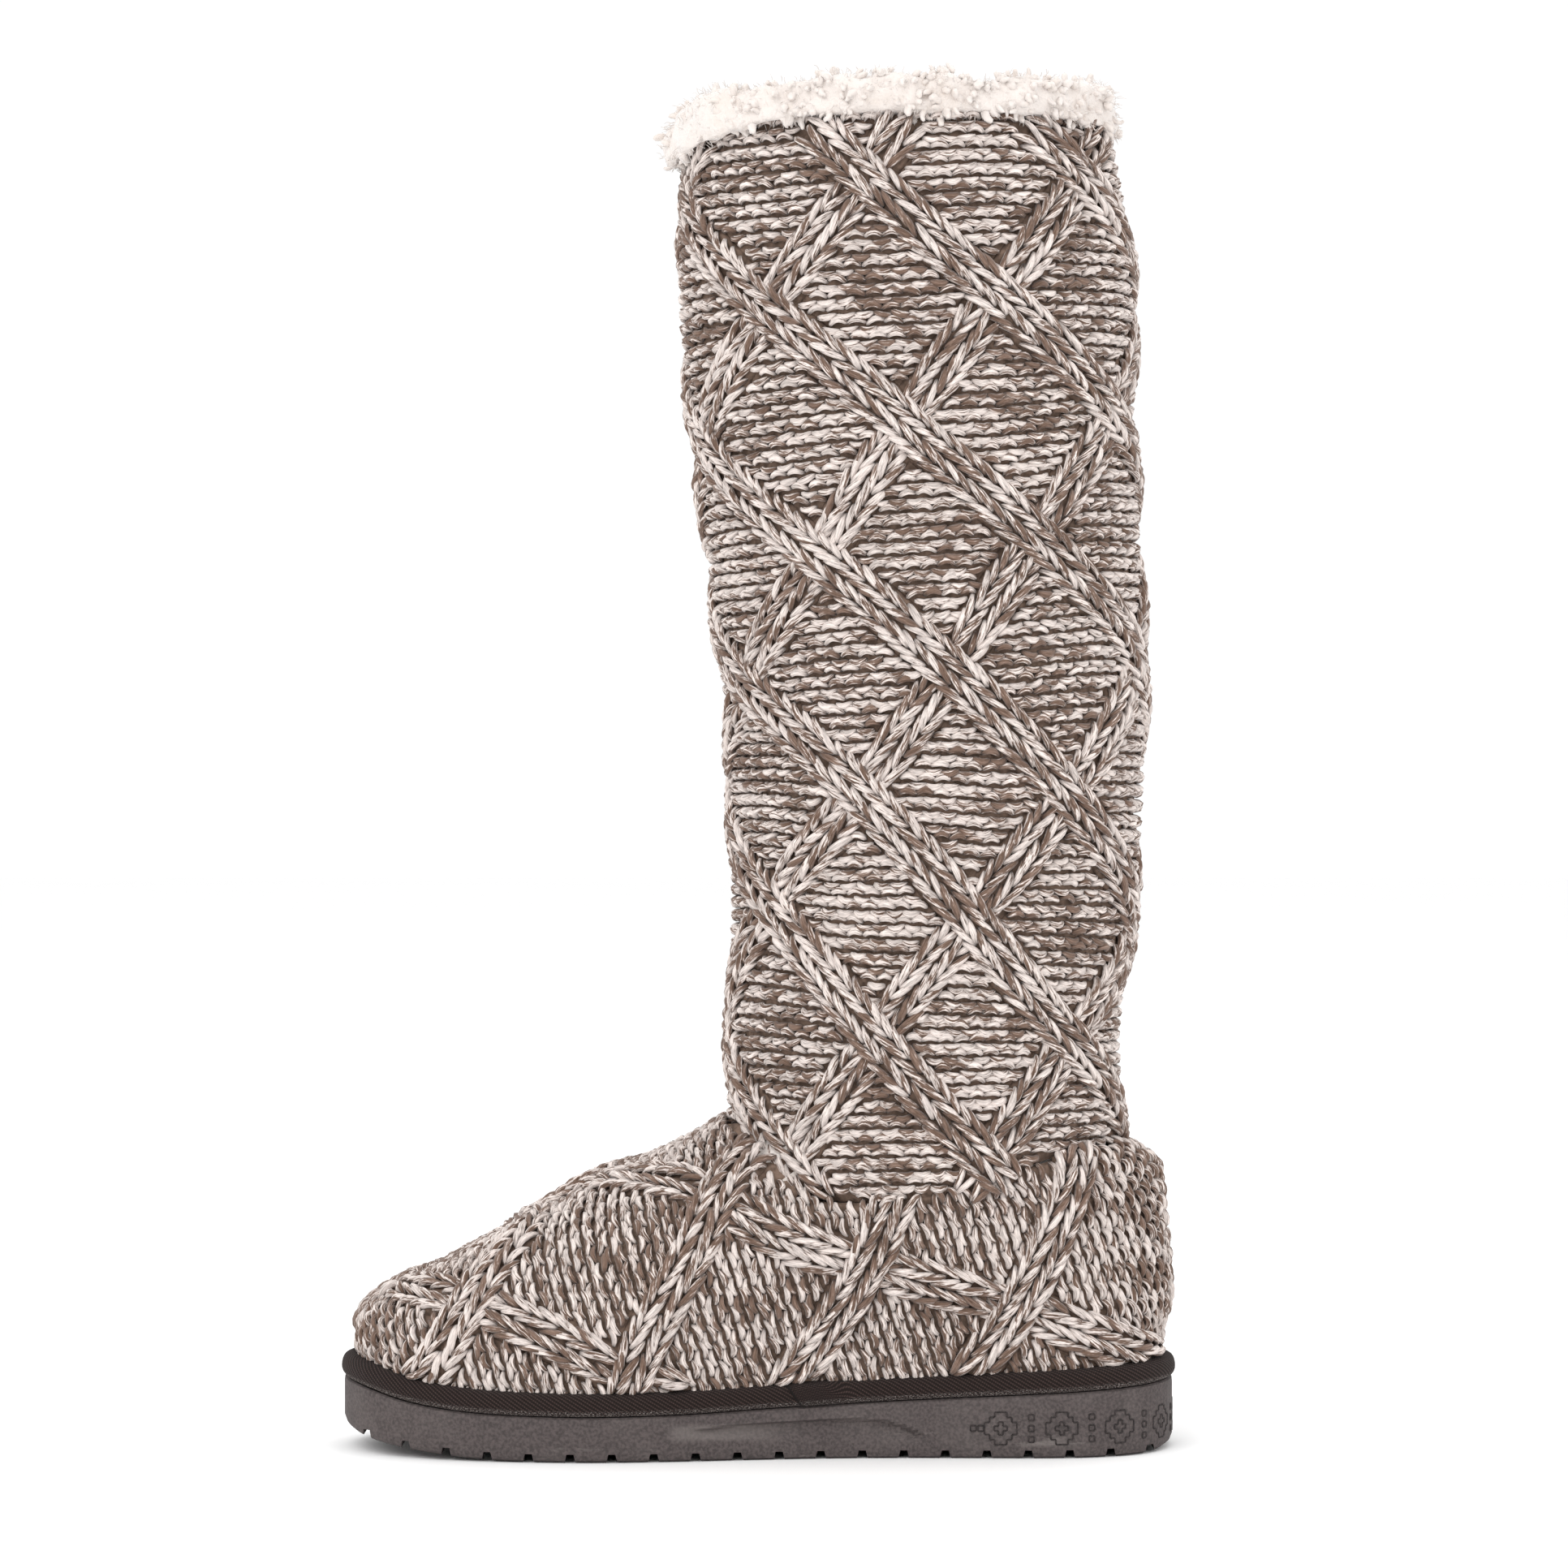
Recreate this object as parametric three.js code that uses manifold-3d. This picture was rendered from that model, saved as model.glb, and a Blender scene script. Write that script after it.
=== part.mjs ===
// A tall knitted winter boot for the right foot: a moulded foam sole, a tape-bound platform, a cable-knit
// foot and shaft, a footbed, and a fleece cuff that stands out of the collar.
// Millimetres, +Z up. The toe points to -X and the heel to +X, and the inner side of the foot is at -Y.
// The origin is on the floor, under the middle of the boot's length and width.
import * as THREE from "three";
import { mergeVertices } from "three/addons/utils/BufferGeometryUtils.js";
import Module from "manifold-3d";

const wasm = await Module();
wasm.setup();

// Driving dimensions of the sole
const soleLength = 272;
const ballWidth = 98;
const toeThickness = 15;
const ballThickness = 14.3;
const heelThickness = 22.6;
const toeSpring = 8;
const soleEdgeRound = 2.2;
const grooveWidth = 3.4;
const grooveDepth = 2;
const groovePitch = 13.35;
const endBar = 9;
const archHollowDepth = 1.3;

// Driving dimensions of the bound platform and the footbed
const bindingHeight = 7;
const bindingDepth = 8;
const bindingBulge = 0.9;
const footbedThickness = 4.5;
const footbedClearance = 2;

// Driving dimensions of the knitted upper
const knitWall = 3;
const ankleHeight = 109;
const collarHeight = 430;
const shaftDepth = 146;
const shaftWidth = 96;
const footWidthShare = 0.93;
const seamTuck = 9;
const cableWidth = 15;
const cableRise = 2.8;
const cableLap = 0.6;
const cableRoot = 2.2;
const cableRepeatHeight = 79;
const cablesAround = 5;

// Driving dimensions of the fleece cuff
const cuffRise = 14;
const cuffFlare = 8;
const cuffSkirt = 14;
const cuffSkirtThickness = 5;
const lockSize = 8.5;
const locksAround = 11;

// Pieces that touch keep this gap
const gap = 0.3;

// How many steps each kind of loft has round its outline
const soleSteps = 56;
const footSteps = 46;
const innerSteps = 32;
const cuffSteps = 28;

const halfSole = soleLength / 2;
const fullTurn = Math.PI * 2;
const overall = collarHeight + soleLength;

// Plan of the sole from toe (0) to heel (1): each side's fullness against an ellipse as wide as the ball.
const planRows = [
  { along: 0.0, inner: 1.56, outer: 1.36 },
  { along: 0.05, inner: 1.41, outer: 1.23 },
  { along: 0.1, inner: 1.28, outer: 1.15 },
  { along: 0.2, inner: 1.14, outer: 1.11 },
  { along: 0.3, inner: 1.05, outer: 1.08 },
  { along: 0.4, inner: 0.93, outer: 1.03 },
  { along: 0.5, inner: 0.82, outer: 0.94 },
  { along: 0.6, inner: 0.765, outer: 0.88 },
  { along: 0.7, inner: 0.8, outer: 0.88 },
  { along: 0.8, inner: 0.935, outer: 0.96 },
  { along: 0.9, inner: 1.18, outer: 1.18 },
  { along: 1.0, inner: 1.5, outer: 1.48 },
];

// Side line of the sole's top: shares of the toe's, the ball's and the heel's height, which add up there.
const deckRows = [
  { along: 0.0, toe: 1, ball: 0, heel: 0 },
  { along: 0.03, toe: 0.82, ball: 0.18, heel: 0 },
  { along: 0.09, toe: 0.38, ball: 0.62, heel: 0 },
  { along: 0.16, toe: 0.12, ball: 0.88, heel: 0 },
  { along: 0.27, toe: 0, ball: 1, heel: 0 },
  { along: 0.4, toe: 0, ball: 0.96, heel: 0.04 },
  { along: 0.52, toe: 0, ball: 0.77, heel: 0.23 },
  { along: 0.75, toe: 0, ball: 0.4, heel: 0.6 },
  { along: 0.93, toe: 0, ball: 0.12, heel: 0.88 },
  { along: 1.0, toe: 0, ball: 0, heel: 1 },
];

// Underside of the sole at the toe and the heel: share of the toe spring.
const springRows = [
  { along: 0.0, lift: 1 },
  { along: 0.025, lift: 0.7 },
  { along: 0.07, lift: 0.42 },
  { along: 0.13, lift: 0.17 },
  { along: 0.19, lift: 0.03 },
  { along: 0.23, lift: 0 },
  { along: 0.965, lift: 0 },
  { along: 1.0, lift: 0.2 },
];

// Slices of the foot from the binding (0) to the ankle (1). toe and heel say how far the slice reaches from the
// shaft to each end of the sole, ball how wide it is between the shaft and the ball, round how far its plan has
// turned from the sole's into an oval, and blunt how pointed that oval's toe end is (1 is an ellipse).
const footRows = [
  { rise: 0.0, toe: 0.955, heel: 0.7, ball: 0.86, round: 0, blunt: 1 },
  { rise: 0.05, toe: 0.965, heel: 0.76, ball: 0.96, round: 0.02, blunt: 0.9 },
  { rise: 0.122, toe: 0.963, heel: 0.8, ball: 1.0, round: 0.08, blunt: 0.8 },
  { rise: 0.18, toe: 0.948, heel: 0.89, ball: 1.0, round: 0.18, blunt: 0.7 },
  { rise: 0.23, toe: 0.92, heel: 0.94, ball: 0.97, round: 0.3, blunt: 0.62 },
  { rise: 0.29, toe: 0.862, heel: 0.955, ball: 0.91, round: 0.5, blunt: 0.55 },
  { rise: 0.35, toe: 0.801, heel: 0.935, ball: 0.84, round: 0.65, blunt: 0.5 },
  { rise: 0.44, toe: 0.711, heel: 0.915, ball: 0.72, round: 0.8, blunt: 0.5 },
  { rise: 0.53, toe: 0.601, heel: 0.87, ball: 0.6, round: 0.9, blunt: 0.52 },
  { rise: 0.62, toe: 0.487, heel: 0.842, ball: 0.45, round: 0.96, blunt: 0.66 },
  { rise: 0.7, toe: 0.399, heel: 0.805, ball: 0.36, round: 1, blunt: 0.8 },
  { rise: 0.77, toe: 0.298, heel: 0.76, ball: 0.3, round: 1, blunt: 0.9 },
  { rise: 0.85, toe: 0.175, heel: 0.7, ball: 0.22, round: 1, blunt: 1 },
  { rise: 0.92, toe: 0.081, heel: 0.6, ball: 0.15, round: 1, blunt: 1 },
  { rise: 1.0, toe: 0, heel: 0.5, ball: 0.1, round: 1, blunt: 1 },
];

// Sections of the shaft from the ankle (0) to the collar (1): the middle as a share of the sole's length, and
// shares of the shaft's greatest depth and width.
const shaftRows = [
  { rise: -0.15, axis: 0.203, depth: 0.874, width: 0.94 },
  { rise: 0.0, axis: 0.201, depth: 0.865, width: 0.9 },
  { rise: 0.1, axis: 0.2015, depth: 0.858, width: 0.89 },
  { rise: 0.24, axis: 0.2125, depth: 0.89, width: 0.925 },
  { rise: 0.39, axis: 0.215, depth: 0.916, width: 0.955 },
  { rise: 0.54, axis: 0.204, depth: 0.945, width: 0.97 },
  { rise: 0.68, axis: 0.19, depth: 0.965, width: 0.98 },
  { rise: 0.83, axis: 0.179, depth: 1.0, width: 1.0 },
  { rise: 0.92, axis: 0.175, depth: 0.972, width: 1.0 },
  { rise: 1.0, axis: 0.172, depth: 0.925, width: 0.965 },
];

// Seam between foot and shaft, seen from the side: share of the shaft's depth from its front, and share of the
// ankle's height.
const seamRows = [
  { back: -0.5, height: 1.0 },
  { back: -0.02, height: 0.985 },
  { back: 0.03, height: 0.92 },
  { back: 0.09, height: 0.84 },
  { back: 0.17, height: 0.79 },
  { back: 0.3, height: 0.768 },
  { back: 0.46, height: 0.778 },
  { back: 0.68, height: 0.836 },
  { back: 0.86, height: 0.9 },
  { back: 1.0, height: 0.92 },
  { back: 1.5, height: 0.92 },
];

// The hollow along the arch, seen from the side: shares of the sole's length and of the ball's thickness.
const archHollowRows = [
  { along: 0.4, height: 0.56 },
  { along: 0.5, height: 0.42 },
  { along: 0.62, height: 0.4 },
  { along: 0.705, height: 0.36 },
  { along: 0.66, height: 0.86 },
  { along: 0.55, height: 0.82 },
  { along: 0.44, height: 0.7 },
];

// Cables of the foot. Each row is a point of a cable, as a share of the sole's length from the toe and a share of
// the ankle's height, and both sides of the foot carry the cable.
const footCables = {
  toeRising: [
    { along: 0.1, height: 0.2 },
    { along: 0.137, height: 0.35 },
    { along: 0.18, height: 0.53 },
    { along: 0.227, height: 0.67 },
    { along: 0.275, height: 0.78 },
  ],
  ballRising: [
    { along: 0.345, height: 0.2 },
    { along: 0.372, height: 0.37 },
    { along: 0.42, height: 0.59 },
    { along: 0.453, height: 0.77 },
    { along: 0.487, height: 0.9 },
  ],
  insideRising: [
    { along: 0.535, height: 0.22 },
    { along: 0.582, height: 0.38 },
    { along: 0.63, height: 0.585 },
    { along: 0.654, height: 0.73 },
    { along: 0.67, height: 0.84 },
  ],
  heelRising: [
    { along: 0.75, height: 0.24 },
    { along: 0.799, height: 0.41 },
    { along: 0.842, height: 0.61 },
    { along: 0.869, height: 0.79 },
    { along: 0.885, height: 0.9 },
  ],
  toeFalling: [
    { along: 0.0, height: 0.38 },
    { along: 0.046, height: 0.46 },
    { along: 0.14, height: 0.47 },
    { along: 0.25, height: 0.37 },
    { along: 0.33, height: 0.27 },
    { along: 0.4, height: 0.2 },
  ],
  insideFalling: [
    { along: 0.266, height: 0.768 },
    { along: 0.36, height: 0.81 },
    { along: 0.438, height: 0.787 },
    { along: 0.525, height: 0.659 },
    { along: 0.635, height: 0.568 },
    { along: 0.798, height: 0.449 },
    { along: 0.97, height: 0.28 },
  ],
};

// Smooth value of a table's column by a cubic through its rows. Past its ends it stays level.
function column(rows, by, key, at) {
  const last = rows.length - 1;
  if (at <= rows[0][by]) return rows[0][key];
  if (at >= rows[last][by]) return rows[last][key];
  const i = rows.findIndex((row) => row[by] > at) - 1;
  const slope = (k) => {
    const low = rows[Math.max(k - 1, 0)];
    const high = rows[Math.min(k + 1, last)];
    return (high[key] - low[key]) / (high[by] - low[by]);
  };
  const span = rows[i + 1][by] - rows[i][by];
  const t = (at - rows[i][by]) / span;
  const ease = t * t * (3 - 2 * t);
  const bend = span * t * (1 - t) * ((1 - t) * slope(i) - t * slope(i + 1));
  return rows[i][key] * (1 - ease) + rows[i + 1][key] * ease + bend;
}

const mix = (a, b, t) => a + (b - a) * t;
const clamp01 = (t) => Math.min(Math.max(t, 0), 1);
const rounds = (count, make) => Array.from({ length: count }, (_, i) => make((i / count) * fullTurn, i));

// Side lines of the sole, by the distance along it
const alongOf = (x) => clamp01((x + halfSole) / soleLength);
const springAt = (x) => toeSpring * column(springRows, "along", "lift", alongOf(x));
function deckAt(x) {
  const share = (key) => column(deckRows, "along", key, alongOf(x));
  return share("toe") * (toeSpring + toeThickness) + share("ball") * ballThickness + share("heel") * heelThickness;
}
const bindingFoot = (x) => deckAt(x) + gap;
const bindingTop = (x) => bindingFoot(x) + bindingHeight;
const knitFoot = (x) => bindingTop(x) + gap;

// Half-width of the sole's plan at an angle phi (0 at the toe's tip, a quarter turn on the inner side), as a share
// of half the ball's width and with its sign.
function planSide(phi) {
  const side = Math.sin(phi) > 0 ? "inner" : "outer";
  return -Math.sin(phi) * column(planRows, "along", side, (1 - Math.cos(phi)) / 2);
}

// The sole's plan is fuller on one side, so this shift puts its middle on the origin.
const planShift = (() => {
  const sides = rounds(soleSteps, (phi) => planSide(phi));
  return (Math.max(...sides) + Math.min(...sides)) / 2;
})();

// The sole's outline, moved in by inset along its own normal.
function solePoint(phi, inset) {
  const at = (a) => new THREE.Vector2(-halfSole * Math.cos(a), ((planSide(a) - planShift) * ballWidth) / 2);
  const step = 0.01;
  const tangent = at(phi + step).sub(at(phi - step)).normalize();
  return at(phi).add(new THREE.Vector2(tangent.y, -tangent.x).multiplyScalar(-inset));
}

// A closed mesh through rings of equally many points, from the lowest ring to the highest. Its two ends are closed
// by rungs between the points that face each other across the ring.
function loft(rings) {
  const count = rings[0].length;
  const points = rings.flat().flatMap((p) => [p.x, p.y, p.z]);
  const index = [];
  for (let r = 0; r + 1 < rings.length; r++) {
    for (let i = 0; i < count; i++) {
      const a = r * count + i;
      const b = r * count + ((i + 1) % count);
      index.push(a, b, b + count);
      index.push(a, b + count, a + count);
    }
  }
  const rungs = (base, up) => {
    for (let i = 0; i < count / 2; i++) {
      const corners = [i, i + 1, count - i - 1, (count - i) % count].map((k) => base + k);
      for (const [a, b, c] of [[0, 1, 2], [0, 2, 3]].map((face) => face.map((k) => corners[k]))) {
        if (a === b || b === c || a === c) continue;
        index.push(...(up ? [a, b, c] : [a, c, b]));
      }
    }
  };
  rungs(0, false);
  rungs((rings.length - 1) * count, true);
  const geometry = new THREE.BufferGeometry();
  geometry.setAttribute("position", new THREE.Float32BufferAttribute(points, 3));
  geometry.setIndex(index);
  return geometry;
}

// A solid for booleans, from a closed geometry that faces outwards.
function solid(geometry) {
  const bare = geometry.clone();
  bare.deleteAttribute("normal");
  bare.deleteAttribute("uv");
  const merged = mergeVertices(bare, 1e-4);
  return new wasm.Manifold(
    new wasm.Mesh({
      numProp: 3,
      vertProperties: new Float32Array(merged.attributes.position.array),
      triVerts: new Uint32Array(merged.index.array),
    }),
  );
}

function geometryOf(made) {
  const mesh = made.getMesh();
  const geometry = new THREE.BufferGeometry();
  geometry.setAttribute("position", new THREE.BufferAttribute(new Float32Array(mesh.vertProperties), 3));
  geometry.setIndex(new THREE.BufferAttribute(new Uint32Array(mesh.triVerts), 1));
  return geometry;
}

// A block with the given outline in the side view (pairs of X and Z) that runs across the whole boot.
function sideBlock(outline) {
  const shape = new THREE.Shape(outline.map(([x, z]) => new THREE.Vector2(x, z)));
  const block = new THREE.ExtrudeGeometry(shape, { depth: 2 * ballWidth, bevelEnabled: false, steps: 1 });
  block.rotateX(Math.PI / 2);
  block.translate(0, ballWidth, 0);
  return solid(block);
}

// A loft round the sole's outline through levels, each an inset and a height over X.
function soleLoft(levels) {
  return loft(
    levels.map(({ inset, height }) =>
      rounds(soleSteps, (phi) => {
        const p = solePoint(phi, inset);
        return new THREE.Vector3(p.x, p.y, height(p.x));
      }),
    ),
  );
}

// The moulded sole: a solid foam unit with rounded edges, grooves across it, and a hollow along the arch.
function makeOutsole() {
  let made = solid(
    soleLoft([
      { inset: soleEdgeRound, height: springAt },
      { inset: soleEdgeRound * 0.3, height: (x) => springAt(x) + soleEdgeRound * 0.4 },
      { inset: 0, height: (x) => springAt(x) + soleEdgeRound * 1.2 },
      { inset: 0, height: (x) => deckAt(x) - soleEdgeRound * 0.5 },
      { inset: soleEdgeRound * 0.4, height: deckAt },
    ]),
  );
  for (let x = halfSole - endBar; x > -halfSole + endBar / 2; x -= groovePitch) {
    const top = springAt(x) + grooveDepth;
    const groove = [
      [x - grooveWidth / 2, -grooveDepth],
      [x + grooveWidth / 2, -grooveDepth],
      [x + grooveWidth / 3, top],
      [x - grooveWidth / 3, top],
    ];
    made = made.subtract(sideBlock(groove));
  }
  const hollow = archHollowRows.map(({ along, height }) => [along * soleLength - halfSole, height * ballThickness]);
  const core = solid(
    soleLoft([
      { inset: archHollowDepth, height: () => -overall },
      { inset: archHollowDepth, height: () => overall },
    ]),
  );
  return geometryOf(made.subtract(sideBlock(hollow).subtract(core)));
}

// The tape-bound edge of the platform: a ring with a rounded outer face, like a rolled tape.
function makeBinding() {
  const roll = [
    { inset: bindingHeight * 0.2, up: 0 },
    { inset: -bindingBulge, up: 0.27 },
    { inset: -bindingBulge, up: 0.7 },
    { inset: bindingHeight * 0.24, up: 1 },
  ];
  const levels = roll.map(({ inset, up }) => ({ inset, height: (x) => bindingFoot(x) + up * bindingHeight }));
  const core = [
    { inset: bindingDepth, height: () => -overall },
    { inset: bindingDepth, height: () => overall },
  ];
  return geometryOf(solid(soleLoft(levels)).subtract(solid(soleLoft(core))));
}

// The platform that the binding runs round: a plain slab that follows the sole's top.
function makePlatform() {
  const inset = bindingDepth + gap;
  return soleLoft([
    { inset, height: bindingFoot },
    { inset, height: bindingTop },
  ]);
}

// The shaft's middle, half sizes and lean at a share of its height.
function shaftSection(rise) {
  const at = (key) => column(shaftRows, "rise", key, rise);
  const step = 0.02;
  const low = column(shaftRows, "rise", "axis", rise - step);
  const high = column(shaftRows, "rise", "axis", rise + step);
  const lean = ((high - low) * soleLength) / (2 * step * (collarHeight - ankleHeight));
  return {
    axis: at("axis") * soleLength,
    height: mix(ankleHeight, collarHeight, rise),
    halfDepth: (at("depth") * shaftDepth) / 2,
    halfWidth: (at("width") * shaftWidth) / 2,
    tilt: Math.atan(-lean),
  };
}

// A point of the shaft at an angle theta (0 in the middle of the inner side, a quarter turn at the back), moved
// out by offset. Each section stands square to the shaft's leaning middle line.
function shaftPoint(theta, rise, offset) {
  const { axis, height, halfDepth, halfWidth, tilt } = shaftSection(rise);
  const place = new THREE.Vector2(halfDepth * Math.sin(theta), -halfWidth * Math.cos(theta));
  const out = new THREE.Vector2(halfWidth * Math.sin(theta), -halfDepth * Math.cos(theta)).normalize();
  place.addScaledVector(out, offset);
  return new THREE.Vector3(axis + place.x * Math.cos(tilt), place.y, height + place.x * Math.sin(tilt));
}

const shaftRing = (rise, offset, steps) => rounds(steps, (turn) => shaftPoint(turn - Math.PI / 2, rise, offset));

const ankle = shaftSection(0);
const shaftFront = ankle.axis - ankle.halfDepth;
const shaftBack = ankle.axis + ankle.halfDepth;

// Places the shaft's cables. falling counts the cables that fall towards the back and rising those that fall
// towards the front, and each cable runs along a whole number. A full turn holds cablesAround of both kinds.
const latticeStart = 0.24;
const latticeTurn = THREE.MathUtils.degToRad(-15.3);
const latticeTwist = THREE.MathUtils.degToRad(8.6);
const flankShare = 0.57;
const groundShares = [0.38, 0.62];
const cableSpacing = (() => {
  const around = (Math.PI * (shaftDepth + shaftWidth)) / 2 / cablesAround;
  return (around * cableRepeatHeight) / Math.hypot(around, cableRepeatHeight);
})();

// Grid lines of one cable repeat: the cable's flanks and the knit between two cables.
const cableHalf = cableWidth / 2 / cableSpacing;
const gridLines = [
  { at: -cableHalf, high: 0 },
  { at: -cableHalf * flankShare, high: 1 },
  { at: cableHalf * flankShare, high: 1 },
  { at: cableHalf, high: 0 },
  { at: groundShares[0], high: 0 },
  { at: groundShares[1], high: 0 },
];
function gridLine(k) {
  const whole = Math.floor(k / gridLines.length);
  const { at, high } = gridLines[k - whole * gridLines.length];
  return { at: whole + at, high };
}

function latticePoint(falling, rising) {
  const down = latticeStart + (falling.at + rising.at) / 2;
  const arc = latticeTurn + ((rising.at - falling.at) / 2) * (fullTurn / cablesAround) + down * latticeTwist;
  const oval = (shaftDepth - shaftWidth) / (shaftDepth + shaftWidth);
  // Equal steps of arc are equal lengths round the oval
  const theta = arc - (oval / 2) * Math.sin(2 * arc);
  const rise = 1 - (down * cableRepeatHeight) / (collarHeight - ankleHeight);
  const lap = cableLap * falling.high * rising.high;
  return shaftPoint(theta, rise, cableRise * Math.max(falling.high, rising.high) + lap);
}

// The shaft's outside: a long closed column whose grid runs along the cables, so that each has clean edges.
function shaftColumn() {
  const repeats = (collarHeight - ankleHeight) / cableRepeatHeight;
  const above = 1;
  const below = 1.1;
  const count = Math.ceil((above + repeats + below) * 2 * gridLines.length);
  const around = cablesAround * gridLines.length;
  const start = -Math.round(above * 2 * gridLines.length);
  return loft(
    Array.from({ length: count }, (_, r) =>
      Array.from({ length: around }, (_, i) => latticePoint(gridLine(-i), gridLine(start + i + count - 1 - r))),
    ),
  );
}

// Heights of the seam and of the collar, in the side view
const seamLine = (lift) =>
  seamRows.map(({ back, height }) => [mix(shaftFront, shaftBack, back), height * ankleHeight + lift]);
const collarLine = (lift) => {
  const front = shaftPoint(-Math.PI / 2, 1, soleLength);
  const back = shaftPoint(Math.PI / 2, 1, soleLength);
  return [
    [back.x, back.z + lift],
    [front.x, front.z + lift],
  ];
};

// The knitted shaft: a hollow tube between the seam and the collar, with its cables raised on it.
function makeShaft() {
  const rises = [-0.15, 0.05, 0.3, 0.55, 0.85, 1, 1.1];
  const hollow = solid(loft(rises.map((rise) => shaftRing(rise, -knitWall, innerSteps))));
  const span = sideBlock([...seamLine(gap / 2), ...collarLine(0)]);
  return geometryOf(solid(shaftColumn()).subtract(hollow).intersect(span));
}

// A point of the foot at a share of the height from the binding to the ankle and an angle phi round its plan.
function footPoint(phi, rise) {
  const at = (key) => column(footRows, "rise", key, rise);
  const front = mix(shaftFront, -halfSole, at("toe"));
  const back = mix(shaftBack, halfSole, at("heel"));
  const halfWidth = mix(ankle.halfWidth, (footWidthShare * ballWidth) / 2, at("ball"));
  const x = mix(front, back, (1 - Math.cos(phi)) / 2);
  const point = Math.cos(phi) > 0 ? at("blunt") : 1;
  const oval = -Math.sign(Math.sin(phi)) * Math.abs(Math.sin(phi)) ** point;
  const sole = planSide(phi) - planShift;
  const z = mix(knitFoot(x), ankleHeight, rise);
  return tucked(new THREE.Vector3(x, halfWidth * mix(sole, oval, at("round")), z));
}

// Near the seam the knit of the foot is drawn in to the shaft, except over the instep, where it runs on.
function tucked(point) {
  const { axis, halfDepth, halfWidth } = shaftSection((point.z - ankleHeight) / (collarHeight - ankleHeight));
  const back = (point.x - shaftFront) / (shaftBack - shaftFront);
  const seam = column(seamRows, "back", "height", back) * ankleHeight;
  const near = clamp01(1 - (seam - point.z) / seamTuck) ** 1.6 * clamp01(back * 8);
  const out = new THREE.Vector2((point.x - axis) / halfDepth, point.y / halfWidth).normalize();
  point.x = mix(point.x, axis + halfDepth * out.x, near);
  point.y = mix(point.y, halfWidth * out.y, near);
  return point;
}

function footNormal(phi, rise) {
  const step = 0.004;
  const round = footPoint(phi + step, rise).sub(footPoint(phi - step, rise));
  const up = footPoint(phi, Math.min(rise + step, 1)).sub(footPoint(phi, Math.max(rise - step, 0)));
  return round.cross(up).normalize();
}

// Angles that share a slice's outline out evenly, from the toe's tip round the inner side and back again.
function evenAngles(rise, steps) {
  const fine = 240;
  const angles = [];
  for (const half of [0, Math.PI]) {
    const places = Array.from({ length: fine + 1 }, (_, k) => half + (Math.PI * k) / fine);
    const lengths = [0];
    for (let k = 1; k <= fine; k++) {
      lengths.push(lengths[k - 1] + footPoint(places[k], rise).distanceTo(footPoint(places[k - 1], rise)));
    }
    for (let k = 0; k < steps / 2; k++) {
      const want = (lengths[fine] * k) / (steps / 2);
      const i = Math.max(lengths.findIndex((length) => length > want), 1);
      const share = (want - lengths[i - 1]) / (lengths[i] - lengths[i - 1]);
      angles.push(mix(places[i - 1], places[i], share));
    }
  }
  return angles;
}

// A column through the foot's slices, moved in by inset along the surface's normal, with straight ends.
function footColumn(rises, steps, inset) {
  const rings = rises.map((rise) =>
    evenAngles(rise, steps).map((phi) => footPoint(phi, rise).addScaledVector(footNormal(phi, rise), -inset)),
  );
  const moved = (ring, up) => ring.map((p) => new THREE.Vector3(p.x, p.y, p.z + up));
  const lead = inset > 0 ? [moved(rings[0], -ballWidth / 2)] : [];
  return solid(loft([...lead, ...rings, moved(rings.at(-1), ballWidth / 2)]));
}

// Where a side-view place of the foot lies on its surface, as an angle and a share of the rise.
function footPlace(along, height) {
  const x = along * soleLength - halfSole;
  const z = height * ankleHeight;
  const rise = clamp01((z - knitFoot(x)) / (ankleHeight - knitFoot(x)));
  const front = mix(shaftFront, -halfSole, column(footRows, "rise", "toe", rise));
  const back = mix(shaftBack, halfSole, column(footRows, "rise", "heel", rise));
  return { phi: Math.acos(1 - 2 * clamp01((x - front) / (back - front))), rise };
}

// The place on the foot's surface that is nearest to a target point, found by steps from a place close by.
function nearestPlace(target, { phi, rise }) {
  const step = 0.002;
  const place = { phi, rise };
  for (let k = 0; k < 4; k++) {
    const here = footPoint(place.phi, place.rise);
    const round = footPoint(place.phi + step, place.rise).sub(here).divideScalar(step);
    const up = footPoint(place.phi, place.rise - step).sub(here).divideScalar(-step);
    const miss = target.clone().sub(here);
    const cross = round.dot(up);
    const scale = round.lengthSq() * up.lengthSq() - cross * cross;
    place.phi += (miss.dot(round) * up.lengthSq() - miss.dot(up) * cross) / scale;
    place.rise = clamp01(place.rise + (miss.dot(up) * round.lengthSq() - miss.dot(round) * cross) / scale);
  }
  return place;
}

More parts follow.
